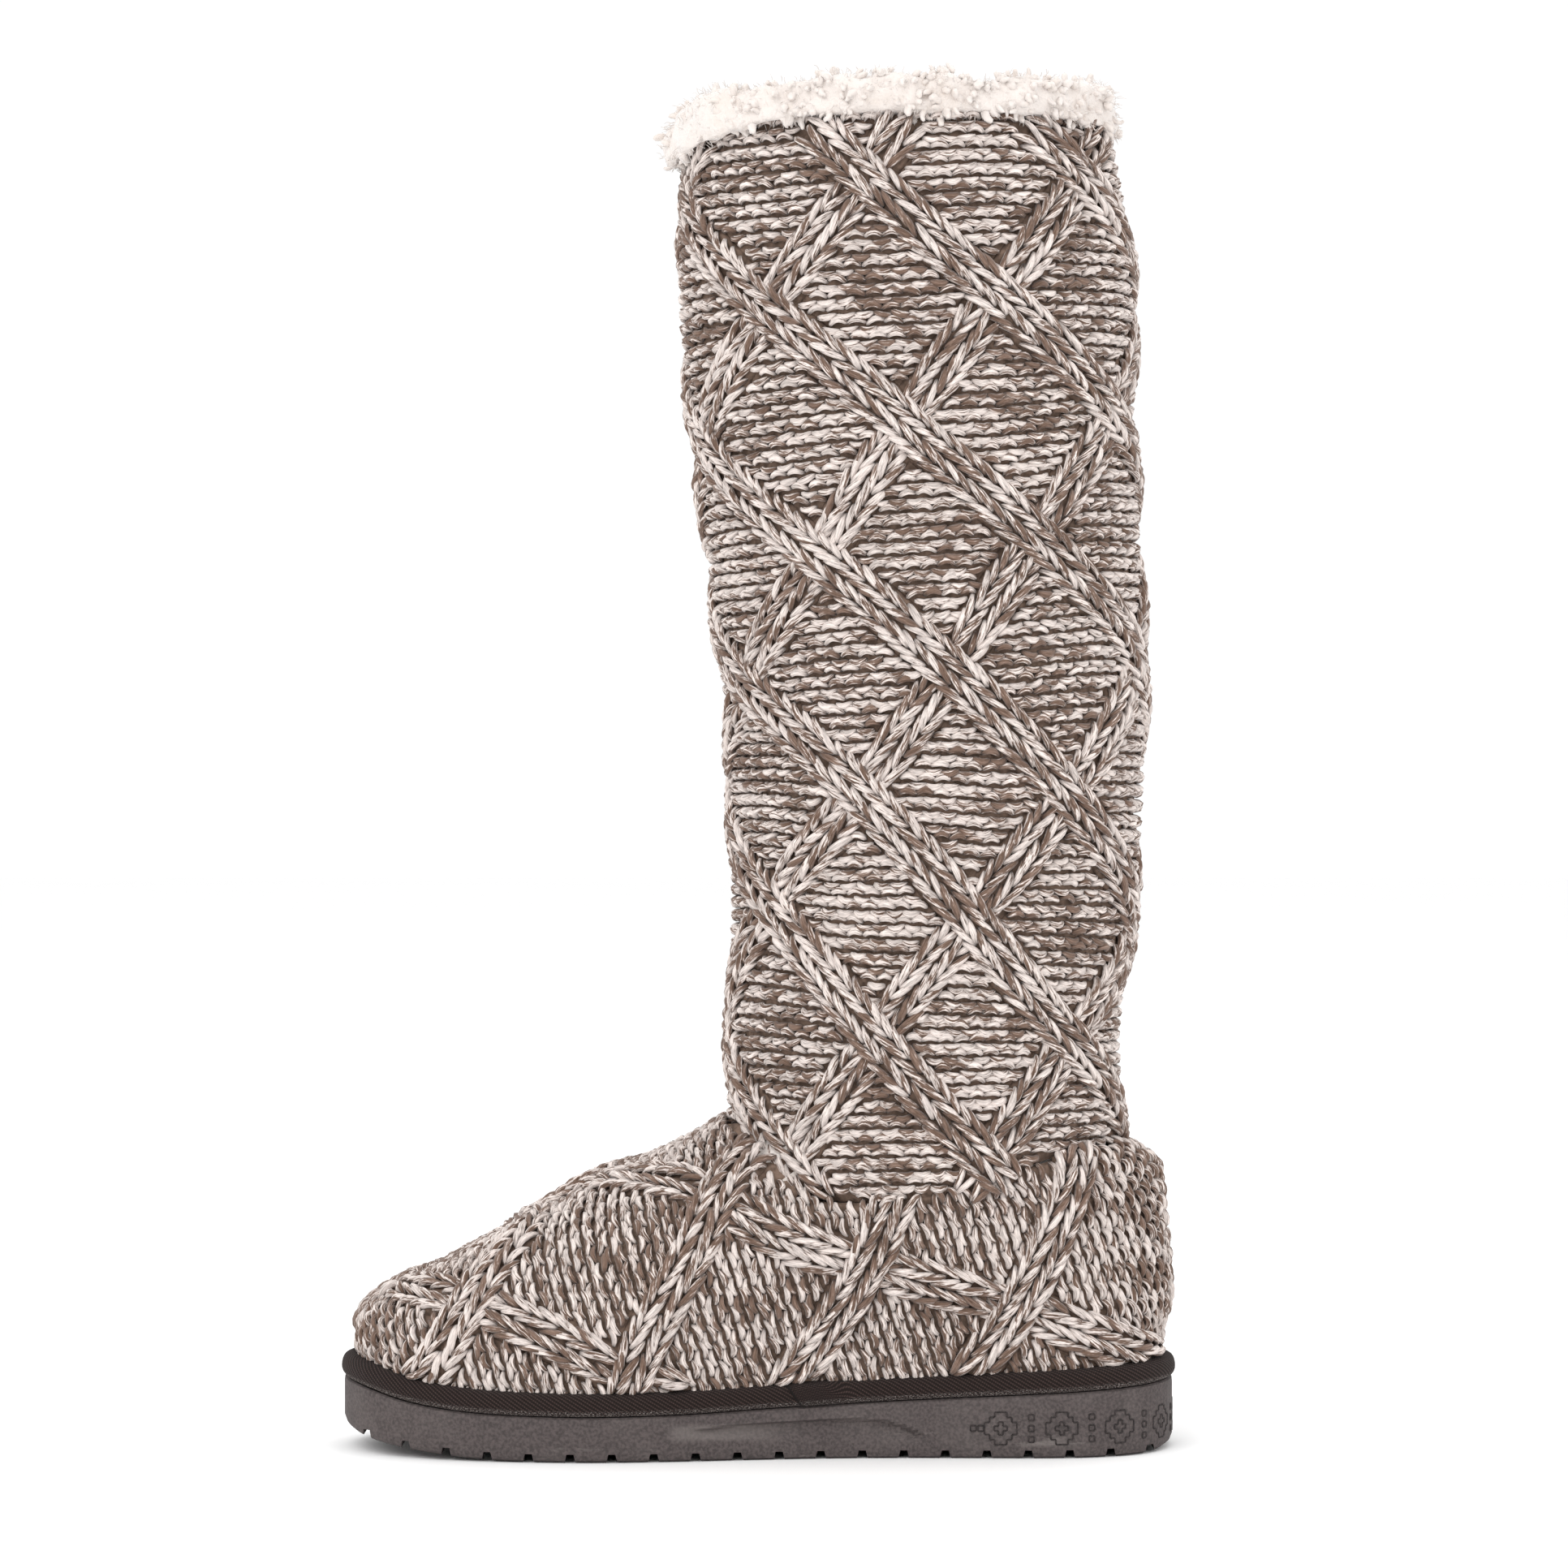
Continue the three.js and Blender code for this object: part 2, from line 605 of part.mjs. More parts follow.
// One raised cable on one side of the foot: a bar with a flat top and sloping flanks that follows the surface.
function cableBar(rows, side, height) {
  const pieces = Math.round((rows.length - 1) * 1.5);
  const numbered = rows.map((row, step) => ({ ...row, step }));
  const spine = Array.from({ length: pieces + 1 }, (_, k) => {
    const at = (name) => column(numbered, "step", name, (k / pieces) * (rows.length - 1));
    const { phi, rise } = footPlace(at("along"), at("height"));
    const place = { phi: side * phi, rise };
    return { place, middle: footPoint(place.phi, rise), normal: footNormal(place.phi, rise) };
  });
  const profile = [
    { across: -1.05, up: -cableRoot },
    { across: 1.05, up: -cableRoot },
    { across: flankShare, up: height },
    { across: -flankShare, up: height },
  ];
  const rings = spine.map(({ place, middle, normal }, k) => {
    const before = spine[Math.max(k - 1, 0)].middle;
    const after = spine[Math.min(k + 1, pieces)].middle;
    const sideways = normal.clone().cross(after.clone().sub(before)).normalize();
    return profile.map(({ across, up }) => {
      const aim = middle.clone().addScaledVector(sideways, (across * cableWidth) / 2);
      const { phi, rise } = nearestPlace(aim, place);
      const seat = footPoint(phi, rise);
      // On the ridge over the toes the surface turns too fast to follow, so the bar runs straight across it
      if (!(seat.distanceTo(aim) < cableWidth / 5)) return aim.addScaledVector(normal, up);
      return seat.addScaledVector(footNormal(phi, rise), up);
    });
  });
  return solid(loft(rings));
}

// The knitted foot: a hollow vamp and heel, open under the footbed and at the seam, with its cables raised on it.
function makeFoot() {
  const outer = [0, 0.06, 0.14, 0.2, 0.26, 0.33, 0.42, 0.52, 0.6, 0.66, 0.71, 0.76, 0.8, 0.84, 0.88, 0.94, 1];
  const inner = [0, 0.13, 0.25, 0.4, 0.6, 0.68, 0.76, 0.85, 0.92, 1];
  let made = footColumn(outer, footSteps, 0);
  for (const [name, rows] of Object.entries(footCables)) {
    for (const side of [1, -1]) {
      // The cables that fall away from the toe's right-hand side lie on top
      const over = name.endsWith("Rising") === (side === 1);
      made = made.add(cableBar(rows, side, over ? cableRise + cableLap : cableRise));
    }
  }
  const under = solid(
    soleLoft([
      { inset: -ballWidth / 4, height: () => -overall },
      { inset: -ballWidth / 4, height: knitFoot },
    ]),
  );
  const seam = seamLine(-gap / 2);
  const below = [
    [seam.at(-1)[0], -ballWidth],
    [seam[0][0] - soleLength, -ballWidth],
    [seam[0][0] - soleLength, seam[0][1]],
  ];
  const span = sideBlock([...seam, ...below]);
  return geometryOf(made.subtract(footColumn(inner, innerSteps, knitWall)).subtract(under).intersect(span));
}

// The footbed on the platform, inside the knitted foot.
function makeFootbed() {
  const ring = (rise, inset, lift) =>
    evenAngles(rise, footSteps).map((phi) => {
      const p = footPoint(phi, rise).addScaledVector(footNormal(phi, rise), -inset);
      return new THREE.Vector3(p.x, p.y, knitFoot(p.x) + lift);
    });
  const inset = knitWall + footbedClearance;
  return loft([ring(0, inset, 0), ring(0, inset, footbedThickness * 0.7), ring(0, inset * 1.3, footbedThickness)]);
}

// The fleece cuff: a thick ring with a skirt inside the collar, rolled outwards over it, and locks fused on.
function makeCuff() {
  const skirtOut = -knitWall - gap;
  const skirtIn = skirtOut - cuffSkirtThickness;
  const profile = [
    { out: skirtIn, up: -cuffSkirt },
    { out: skirtOut, up: -cuffSkirt },
    { out: skirtOut, up: gap },
    { out: cuffFlare * 0.4, up: gap },
    { out: cuffFlare * 0.85, up: cuffRise * 0.22 },
    { out: cuffFlare, up: cuffRise * 0.55 },
    { out: cuffFlare * 0.55, up: cuffRise * 0.88 },
    { out: -cuffFlare * 0.2, up: cuffRise },
    { out: skirtIn * 0.85, up: cuffRise * 0.8 },
    { out: skirtIn * 1.15, up: cuffRise * 0.3 },
  ];
  const lean = shaftSection(1).tilt;
  const at = (theta, out, up) => {
    const p = shaftPoint(theta, 1, out);
    return new THREE.Vector3(p.x - up * Math.sin(lean), p.y, p.z + up * Math.cos(lean));
  };
  // The roll swells and sinks a little on its way round
  const swell = (theta) => 1 + 0.1 * Math.sin(7 * theta) + 0.06 * Math.sin(11 * theta + 1);
  const section = (theta) => profile.map(({ out, up }) => at(theta, out > 0 ? out * swell(theta) : out, up));
  let made = solid(band(rounds(cuffSteps, section)));
  const beds = [
    { out: cuffFlare * 0.55, up: cuffRise * 0.5, stagger: 0 },
    { out: skirtIn * 0.55, up: cuffRise * 0.68, stagger: 0.45 },
  ];
  for (const { out, up, stagger } of beds) {
    for (let k = 0; k < locksAround; k++) {
      // Uneven sizes and turns, from the lock's own number
      const uneven = Math.sin(k * 2.4 + stagger * 9);
      const lock = new THREE.OctahedronGeometry(lockSize * (1 + 0.18 * uneven), 1);
      lock.scale(1, 0.8, 1.15);
      lock.rotateX(uneven * 2);
      lock.rotateZ(k + uneven);
      const spot = at(((k + stagger + 0.25 * uneven) / locksAround) * fullTurn, out, up + uneven);
      lock.translate(spot.x, spot.y, spot.z);
      made = made.add(solid(lock));
    }
  }
  const bore = solid(loft([0.8, 0.9, 1, 1.1].map((rise) => shaftRing(rise, skirtOut, innerSteps))));
  const lower = sideBlock([
    [halfSole * 2, 0],
    ...collarLine(gap),
    [-halfSole * 2, 0],
  ]);
  return geometryOf(made.subtract(lower.subtract(bore)));
}

// A closed band through cross-sections that stand in a circle.
function band(sections) {
  const count = sections[0].length;
  const points = sections.flat().flatMap((p) => [p.x, p.y, p.z]);
  const index = [];
  sections.forEach((_, s) => {
    const next = (s + 1) % sections.length;
    for (let i = 0; i < count; i++) {
      const j = (i + 1) % count;
      const [a, b, c, d] = [s * count + i, s * count + j, next * count + j, next * count + i];
      index.push(a, c, b);
      index.push(a, d, c);
    }
  });
  const geometry = new THREE.BufferGeometry();
  geometry.setAttribute("position", new THREE.Float32BufferAttribute(points, 3));
  geometry.setIndex(index);
  return geometry;
}

// The boot, one named solid for each piece, with its resting colour.
const pieces = [
  { name: "outsole", make: makeOutsole, color: 0x5c5452, roughness: 0.75 },
  { name: "binding", make: makeBinding, color: 0x3a302e, roughness: 0.85 },
  { name: "platform", make: makePlatform, color: 0x8a8078, roughness: 0.9 },
  { name: "footbed", make: makeFootbed, color: 0xd8ccc0, roughness: 0.95 },
  { name: "foot_upper", make: makeFoot, color: 0xb09f92, roughness: 0.95 },
  { name: "shaft", make: makeShaft, color: 0xb8a89c, roughness: 0.95 },
  { name: "fleece_cuff", make: makeCuff, color: 0xefe2d8, roughness: 1 },
];

const boot = new THREE.Group();
boot.name = "boot";
for (const { name, make, color, roughness } of pieces) {
  const geometry = make();
  geometry.computeVertexNormals();
  const mesh = new THREE.Mesh(geometry, new THREE.MeshStandardMaterial({ color, roughness, metalness: 0 }));
  mesh.name = name;
  boot.add(mesh);
}

export default boot;
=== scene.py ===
"""Looks of a tall cable-knit winter boot with a fleece cuff, a tape-bound platform and a foam sole."""

import math

import bpy
import numpy as np
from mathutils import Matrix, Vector
from mathutils.bvhtree import BVHTree
from mathutils.kdtree import KDTree


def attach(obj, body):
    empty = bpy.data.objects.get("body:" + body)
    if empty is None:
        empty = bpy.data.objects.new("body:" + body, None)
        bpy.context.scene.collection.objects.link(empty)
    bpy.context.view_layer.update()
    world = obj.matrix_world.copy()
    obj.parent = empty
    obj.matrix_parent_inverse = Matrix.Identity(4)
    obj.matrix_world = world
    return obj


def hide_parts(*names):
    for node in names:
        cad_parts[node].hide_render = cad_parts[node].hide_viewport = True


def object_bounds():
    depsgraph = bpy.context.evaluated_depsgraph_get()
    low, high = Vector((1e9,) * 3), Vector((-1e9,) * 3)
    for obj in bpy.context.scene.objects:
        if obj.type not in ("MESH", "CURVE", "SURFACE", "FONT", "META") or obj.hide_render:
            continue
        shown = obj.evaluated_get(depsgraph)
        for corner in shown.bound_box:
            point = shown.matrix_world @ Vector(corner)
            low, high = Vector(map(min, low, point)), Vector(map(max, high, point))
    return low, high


bl_info = {
    "name": "Knitted Winter Boot",
    "version": (1, 0, 0),
    "blender": (4, 5, 0),
    "location": "View3D > Sidebar > Boot",
    "description": "Dresses the packed boot in yarn, fleece, tape and foam",
    "category": "Object",
}

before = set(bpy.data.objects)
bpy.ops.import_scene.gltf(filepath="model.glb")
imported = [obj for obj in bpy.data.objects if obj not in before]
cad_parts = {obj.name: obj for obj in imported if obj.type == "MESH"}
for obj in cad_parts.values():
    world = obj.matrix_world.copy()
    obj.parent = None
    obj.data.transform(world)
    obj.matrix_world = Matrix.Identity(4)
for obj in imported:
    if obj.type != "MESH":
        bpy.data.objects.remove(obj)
CAD_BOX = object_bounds()

# Lengths are in millimetres, as in the part's source, but in metres in materials, properties and the stage
MM = 0.001
TURN = 2 * math.pi

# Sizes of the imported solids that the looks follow
SOLE_LENGTH = 272.0
HALF_SOLE = SOLE_LENGTH / 2
BALL_WIDTH = 98.0
TOE_THICKNESS = 15.0
BALL_THICKNESS = 14.3
HEEL_THICKNESS = 22.6
TOE_SPRING = 8.0
EDGE_ROUND = 2.2
GROOVE_WIDTH = 3.4
GROOVE_DEPTH = 2.0
GROOVE_PITCH = 13.35
END_BAR = 9.0
BINDING_HEIGHT = 7.0
BINDING_DEPTH = 8.0
BINDING_BULGE = 0.9
FOLD = 14.0
FOLD_SLANT = 0.65
FOOTBED_THICKNESS = 4.5
KNIT_WALL = 3.0
ANKLE_HEIGHT = 109.0
COLLAR_HEIGHT = 430.0
SHAFT_DEPTH = 146.0
SHAFT_WIDTH = 96.0
FOOT_WIDTH_SHARE = 0.93
SEAM_TUCK = 9.0
CABLE_REPEAT = 79.0
CABLES_AROUND = 5
CUFF_RISE = 14.0
CUFF_FLARE = 8.0
CUFF_SKIRT = 14.0
CUFF_SKIRT_THICKNESS = 5.0
GAP = 0.3

# Sizes that only the looks have
BACKING_INSET = 0.9
BED_STEP = 4.0
CHEVRON_STEP = 4.7
YARN_STEPS = 8
LINE_STEP = 1.5
RIM_STITCHES = 92
HOLLOW_DEPTH = 1.9
FOLD_LIFT = 1.3
BAND_START = 78.0
BAND_HEIGHT = 9.6
BAND_LINE = 0.33
FIGURE_PITCH = 20.5
FIGURE_STEP = 1.3
FOLD_LEVEL = 9.0
GROUND_LEAN = math.radians(17)
FOOTBED_EDGE = 2.2
CUFF_STEP = 1.7
BINDING_STEP = 0.9
TUFT_RADII = (0.85, 1.6)
HAIR_RADII = (0.09, 0.15)
FLOOR_REACH = 9000.0

# Swells of the cuff: height, shift to other lumps, and size
CUFF_SWELLS = ((1.9, 0, 14.0), (1.8, 200, 6.5), (0.9, 400, 3.0))

# Columns round each mesh and its rows. The sides that don't show have few rows
COLUMNS = {
    "shaft skin": 150,
    "shaft wall": 110,
    "shaft lining": 120,
    "foot skin": 220,
    "foot wall": 150,
    "foot lining": 130,
    "footbed": 110,
    "cuff": 200,
    "sole": 420,
    "binding": 520,
}
ROWS = {
    "shaft skin": 130,
    "shaft wall": 40,
    "shaft lining": 60,
    "foot skin": 60,
    "foot wall": 44,
    "foot lining": 40,
}
HIDDEN_ROWS = 8
FOOT_HIDDEN_ROWS = 14

# Seeds of the random draws, and of the lumps
DRAWS = {"shaft": 11, "foot": 23, "cuff": 43}
LUMPS = {"shaft": 5, "foot": 9, "lining": 31, "cuff": 41, "binding": 53}

# Paler patches on the sole's inner side, one over the arch hollow and one rubbed at the heel, in metres: soft
# edges in front, behind, below and above
ARCH_PALE_PATCH = ((-0.031, -0.024), (-0.006, 0.012), (0.0055, 0.0078), (0.0102, 0.0125))
HEEL_RUB = ((0.076, 0.086), (0.094, 0.102), (0.003, 0.005), (0.0064, 0.0085))

# Light and dark of the platform's board, which hardly shows
BOARD_DARK = (0.2, 0.17, 0.15)
BOARD_PALE = (0.3, 0.26, 0.23)

# Places of the camera and the lights, in metres
CAMERA_X = 0.0084
CAMERA_HEIGHT = 0.2166
LIGHT_AIM = (0.03, 0.0, 0.2)
LIGHT_SIZE = 1.6
LIGHT_PLACES = {"key": (-0.9, -1.5, 1.5), "fill": (1.5, -1.2, 0.7), "top": (0.2, 0.6, 1.9)}


def table(names, *rows):
    """A table by its named columns."""
    return dict(zip(names.split(), np.array(rows, float).T))


# Plan of the sole from toe to heel: each side's fullness against an ellipse as wide as the ball
PLAN = table(
    "along inner outer",
    (0.0, 1.56, 1.36),
    (0.05, 1.41, 1.23),
    (0.1, 1.28, 1.15),
    (0.2, 1.14, 1.11),
    (0.3, 1.05, 1.08),
    (0.4, 0.93, 1.03),
    (0.5, 0.82, 0.94),
    (0.6, 0.765, 0.88),
    (0.7, 0.8, 0.88),
    (0.8, 0.935, 0.96),
    (0.9, 1.18, 1.18),
    (1.0, 1.5, 1.48),
)

# Side line of the sole's top: shares of the toe's, the ball's and the heel's height
DECK = table(
    "along toe ball heel",
    (0.0, 1, 0, 0),
    (0.03, 0.82, 0.18, 0),
    (0.09, 0.38, 0.62, 0),
    (0.16, 0.12, 0.88, 0),
    (0.27, 0, 1, 0),
    (0.4, 0, 0.96, 0.04),
    (0.52, 0, 0.77, 0.23),
    (0.75, 0, 0.4, 0.6),
    (0.93, 0, 0.12, 0.88),
    (1.0, 0, 0, 1),
)

# Underside of the sole at the toe and the heel: share of the toe spring
SPRING = table(
    "along lift",
    (0.0, 1),
    (0.025, 0.7),
    (0.07, 0.42),
    (0.13, 0.17),
    (0.19, 0.03),
    (0.23, 0),
    (0.965, 0),
    (1.0, 0.2),
)

# Slices of the foot from the binding to the ankle
FOOT = table(
    "rise toe heel ball round blunt",
    (0.0, 0.955, 0.7, 0.86, 0, 1),
    (0.05, 0.965, 0.76, 0.96, 0.02, 0.9),
    (0.122, 0.963, 0.8, 1.0, 0.08, 0.8),
    (0.18, 0.948, 0.89, 1.0, 0.18, 0.7),
    (0.23, 0.92, 0.94, 0.97, 0.3, 0.62),
    (0.29, 0.862, 0.955, 0.91, 0.5, 0.55),
    (0.35, 0.801, 0.935, 0.84, 0.65, 0.5),
    (0.44, 0.711, 0.915, 0.72, 0.8, 0.5),
    (0.53, 0.601, 0.87, 0.6, 0.9, 0.52),
    (0.62, 0.487, 0.842, 0.45, 0.96, 0.66),
    (0.7, 0.399, 0.805, 0.36, 1, 0.8),
    (0.77, 0.298, 0.76, 0.3, 1, 0.9),
    (0.85, 0.175, 0.7, 0.22, 1, 1),
    (0.92, 0.081, 0.6, 0.15, 1, 1),
    (1.0, 0, 0.5, 0.1, 1, 1),
)

# Sections of the shaft from the ankle to the collar
SHAFT = table(
    "rise axis depth width",
    (-0.15, 0.203, 0.874, 0.94),
    (0.0, 0.201, 0.865, 0.9),
    (0.1, 0.2015, 0.858, 0.89),
    (0.24, 0.2125, 0.89, 0.925),
    (0.39, 0.215, 0.916, 0.955),
    (0.54, 0.204, 0.945, 0.97),
    (0.68, 0.19, 0.965, 0.98),
    (0.83, 0.179, 1.0, 1.0),
    (0.92, 0.175, 0.972, 1.0),
    (1.0, 0.172, 0.925, 0.965),
)

# Seam between foot and shaft: share of the shaft's depth from its front, and share of the ankle's height
SEAM = table(
    "back height",
    (-0.5, 1.0),
    (-0.02, 0.985),
    (0.03, 0.92),
    (0.09, 0.84),
    (0.17, 0.79),
    (0.3, 0.768),
    (0.46, 0.778),
    (0.68, 0.836),
    (0.86, 0.9),
    (1.0, 0.92),
    (1.5, 0.92),
)

# Lower and upper edge of the hollow along the arch
ARCH = table(
    "along low high",
    (0.395, 0.6, 0.62),
    (0.44, 0.5, 0.74),
    (0.5, 0.43, 0.83),
    (0.58, 0.41, 0.87),
    (0.65, 0.38, 0.83),
    (0.71, 0.35, 0.4),
)

# Cables of the foot, from their upper end to their lower one, on both sides of it
FOOT_CABLES = {
    "toe_rising": ((0.275, 0.78), (0.227, 0.67), (0.18, 0.53), (0.137, 0.35), (0.1, 0.2)),
    "ball_rising": ((0.487, 0.9), (0.453, 0.77), (0.42, 0.59), (0.372, 0.37), (0.345, 0.2)),
    "inside_rising": ((0.67, 0.84), (0.654, 0.73), (0.63, 0.585), (0.582, 0.38), (0.535, 0.22)),
    "heel_rising": ((0.885, 0.9), (0.869, 0.79), (0.842, 0.61), (0.799, 0.41), (0.75, 0.24)),
    "toe_falling": ((0.0, 0.38), (0.046, 0.46), (0.14, 0.47), (0.25, 0.37), (0.33, 0.27), (0.4, 0.2)),
    "inside_falling": (
        (0.266, 0.768),
        (0.36, 0.81),
        (0.438, 0.787),
        (0.525, 0.659),
        (0.635, 0.568),
        (0.798, 0.449),
        (0.97, 0.28),
    ),
}

# Place of the shaft's cables: repeats down to the first crossing, the lattice's turn, and its twist a repeat
LATTICE_START = 0.24
LATTICE_TURN = math.radians(-15.3)
LATTICE_TWIST = math.radians(8.6)

SHAFT_RISE = COLLAR_HEIGHT - ANKLE_HEIGHT


def column(rows, by, key, at):
    """Smooth value of a table's column by a cubic through its rows. Past its ends it stays level."""
    places, values = rows[by], rows[key]
    last = len(places) - 1
    at = np.clip(at, places[0], places[-1])
    i = np.clip(np.searchsorted(places, at, side="right") - 1, 0, last - 1)
    steps = np.arange(last + 1)
    before, after = np.maximum(steps - 1, 0), np.minimum(steps + 1, last)
    slope = (values[after] - values[before]) / (places[after] - places[before])
    span = places[i + 1] - places[i]
    t = (at - places[i]) / span
    soft = t * t * (3 - 2 * t)
    bend = span * t * (1 - t) * ((1 - t) * slope[i] - t * slope[i + 1])
    return values[i] * (1 - soft) + values[i + 1] * soft + bend


def mix(a, b, t):
    return a + (b - a) * t


def ease(low, high, value):
    """0 below low and 1 above high, with a soft passage between."""
    t = np.clip((value - low) / (high - low), 0, 1)
    return t * t * (3 - 2 * t)


def unit(vectors):
    return vectors / np.maximum(np.linalg.norm(vectors, axis=-1, keepdims=True), 1e-9)


def stacked(*parts):
    """Points from their parts."""
    return np.stack(np.broadcast_arrays(*parts), axis=-1)


def turns(count):
    """Even angles once round."""
    return np.arange(count) / count * TURN


def lengths_along(line):
    """How far along a line each of its points is."""
    return np.concatenate([[0], np.cumsum(np.linalg.norm(np.diff(line, axis=0), axis=-1))])


def tapered(t, power, least=0.02):
    """How thick a length of yarn is from end to end, t going from -1 to 1, as a share of its middle."""
    return np.sqrt(np.maximum(1 - np.abs(t) ** power, least))


def share_along(x):
    return (x + HALF_SOLE) / SOLE_LENGTH


def spring_at(x):
    """Height of the sole's underside."""
    return TOE_SPRING * column(SPRING, "along", "lift", share_along(x))


def deck_at(x):
    """Height of the sole's top."""
    along = share_along(x)
    toe, ball, heel = (column(DECK, "along", key, along) for key in ("toe", "ball", "heel"))
    return toe * (TOE_SPRING + TOE_THICKNESS) + ball * BALL_THICKNESS + heel * HEEL_THICKNESS


def knit_foot(x):
    """Height at which the knit leaves the binding."""
    return deck_at(x) + GAP + BINDING_HEIGHT + GAP


def plan_side(phi):
    """The sole's edge to a side, in half widths: phi is 0 at the toe and half a turn at the heel."""
    along = (1 - np.cos(phi)) / 2
    inner, outer = (column(PLAN, "along", key, along) for key in ("inner", "outer"))
    return -np.sin(phi) * np.where(np.sin(phi) > 0, inner, outer)


SIDES_OF_PLAN = plan_side(turns(56))
PLAN_SHIFT = (SIDES_OF_PLAN.max() + SIDES_OF_PLAN.min()) / 2


def sole_outline(phi):
    return stacked(-HALF_SOLE * np.cos(phi), (plan_side(phi) - PLAN_SHIFT) * BALL_WIDTH / 2)


def sole_point(phi, inset):
    """The sole's outline, moved in by inset along its own normal."""
    tangent = unit(sole_outline(phi + 0.01) - sole_outline(phi - 0.01))
    out = stacked(tangent[..., 1], -tangent[..., 0])
    return sole_outline(phi) - out * np.asarray(inset)[..., None]


def shaft_section(rise):
    """The shaft's oval at a share of the height from the ankle to the collar."""
    step = 0.02
    lean = column(SHAFT, "rise", "axis", rise + step) - column(SHAFT, "rise", "axis", rise - step)
    lean = lean * SOLE_LENGTH / (2 * step * SHAFT_RISE)
    return {
        "axis": column(SHAFT, "rise", "axis", rise) * SOLE_LENGTH,
        "height": mix(ANKLE_HEIGHT, COLLAR_HEIGHT, rise),
        "depth": column(SHAFT, "rise", "depth", rise) * SHAFT_DEPTH / 2,
        "width": column(SHAFT, "rise", "width", rise) * SHAFT_WIDTH / 2,
        "tilt": np.arctan(-lean),
    }


def shaft_point(theta, rise, offset=0.0):
    """A point of the shaft: theta is 0 in the middle of the inner side and a quarter turn at the back."""
    at = shaft_section(rise)
    sine, cosine = np.sin(theta), np.cos(theta)
    size = np.hypot(at["width"] * sine, at["depth"] * cosine)
    x = at["depth"] * sine + offset * at["width"] * sine / size
    y = -at["width"] * cosine - offset * at["depth"] * cosine / size
    return stacked(at["axis"] + x * np.cos(at["tilt"]), y, at["height"] + x * np.sin(at["tilt"]))


def even_theta(arc):
    """The angle on the shaft's oval at which equal steps of arc are equal lengths."""
    oval = (SHAFT_DEPTH - SHAFT_WIDTH) / (SHAFT_DEPTH + SHAFT_WIDTH)
    return arc - oval / 2 * np.sin(2 * arc)


def lattice_point(falling, rising):
    """A point of the shaft by the numbers of the cables that cross there."""
    down = LATTICE_START + (falling + rising) / 2
    arc = LATTICE_TURN + (rising - falling) / 2 * TURN / CABLES_AROUND + down * LATTICE_TWIST
    return shaft_point(even_theta(arc), 1 - down * CABLE_REPEAT / SHAFT_RISE)


ANKLE = shaft_section(0.0)
SHAFT_FRONT = float(ANKLE["axis"] - ANKLE["depth"])
SHAFT_BACK = float(ANKLE["axis"] + ANKLE["depth"])


def share_back(x):
    """How far back over the shaft's foot an X is."""
    return (x - SHAFT_FRONT) / (SHAFT_BACK - SHAFT_FRONT)


def seam_height(x):
    """Height of the seam between the foot and the shaft."""
    return column(SEAM, "back", "height", share_back(x)) * ANKLE_HEIGHT


def foot_reach(rise):
    """How far a slice of the foot reaches to the toe and to the heel."""
    front = mix(SHAFT_FRONT, -HALF_SOLE, column(FOOT, "rise", "toe", rise))
    back = mix(SHAFT_BACK, HALF_SOLE, column(FOOT, "rise", "heel", rise))
    return front, back


def foot_point(phi, rise):
    """A point of the foot by its angle round the plan and its share of the way up to the ankle."""
    front, back = foot_reach(rise)
    ball = column(FOOT, "rise", "ball", rise)
    half = mix(float(ANKLE["width"]), FOOT_WIDTH_SHARE * BALL_WIDTH / 2, ball)
    x = mix(front, back, (1 - np.cos(phi)) / 2)
    point = np.where(np.cos(phi) > 0, column(FOOT, "rise", "blunt", rise), 1)
    oval = -np.sign(np.sin(phi)) * np.abs(np.sin(phi)) ** point
    y = half * mix(plan_side(phi) - PLAN_SHIFT, oval, column(FOOT, "rise", "round", rise))
    z = mix(knit_foot(x), ANKLE_HEIGHT, rise)
    at = shaft_section((z - ANKLE_HEIGHT) / SHAFT_RISE)
    near = np.clip(1 - (seam_height(x) - z) / SEAM_TUCK, 0, 1) ** 1.6 * np.clip(share_back(x) * 8, 0, 1)
    out_x, out_y = (x - at["axis"]) / at["depth"], y / at["width"]
    size = np.maximum(np.hypot(out_x, out_y), 1e-6)
    x = mix(x, at["axis"] + at["depth"] * out_x / size, near)
    y = mix(y, at["width"] * out_y / size, near)
    return stacked(x, y, z)


def foot_angle(x, rise):
    """The angle round the plan at which a slice of the foot has this X."""
    front, back = foot_reach(rise)
    return np.arccos(1 - 2 * np.clip((x - front) / (back - front), 0, 1))


def seam_rise(phi):
    """The rise at which the foot meets the seam."""
    rise = np.ones_like(phi)
    for _ in range(12):
        x = foot_point(phi, rise)[..., 0]
        foot = knit_foot(x)
        rise = np.clip((seam_height(x) - foot) / (ANKLE_HEIGHT - foot), 0, 1)
    return rise


class Lumps:
    """Smooth uneven values from -1 to 1 over space, the same on each run."""

    def __init__(self, seed):
        self.grid = np.random.default_rng(seed).uniform(-1, 1, (32, 32, 32))

    def at(self, places, scale):
        cells = places / scale + 500
        low = np.floor(cells).astype(int)
        t = cells - low
        t = t * t * (3 - 2 * t)
        total = 0
        for corner in np.ndindex(2, 2, 2):
            i, j, k = ((low[..., a] + corner[a]) % 32 for a in range(3))
            weight = np.prod([t[..., a] if corner[a] else 1 - t[..., a] for a in range(3)], axis=0)
            total = total + weight * self.grid[i, j, k]
        return total


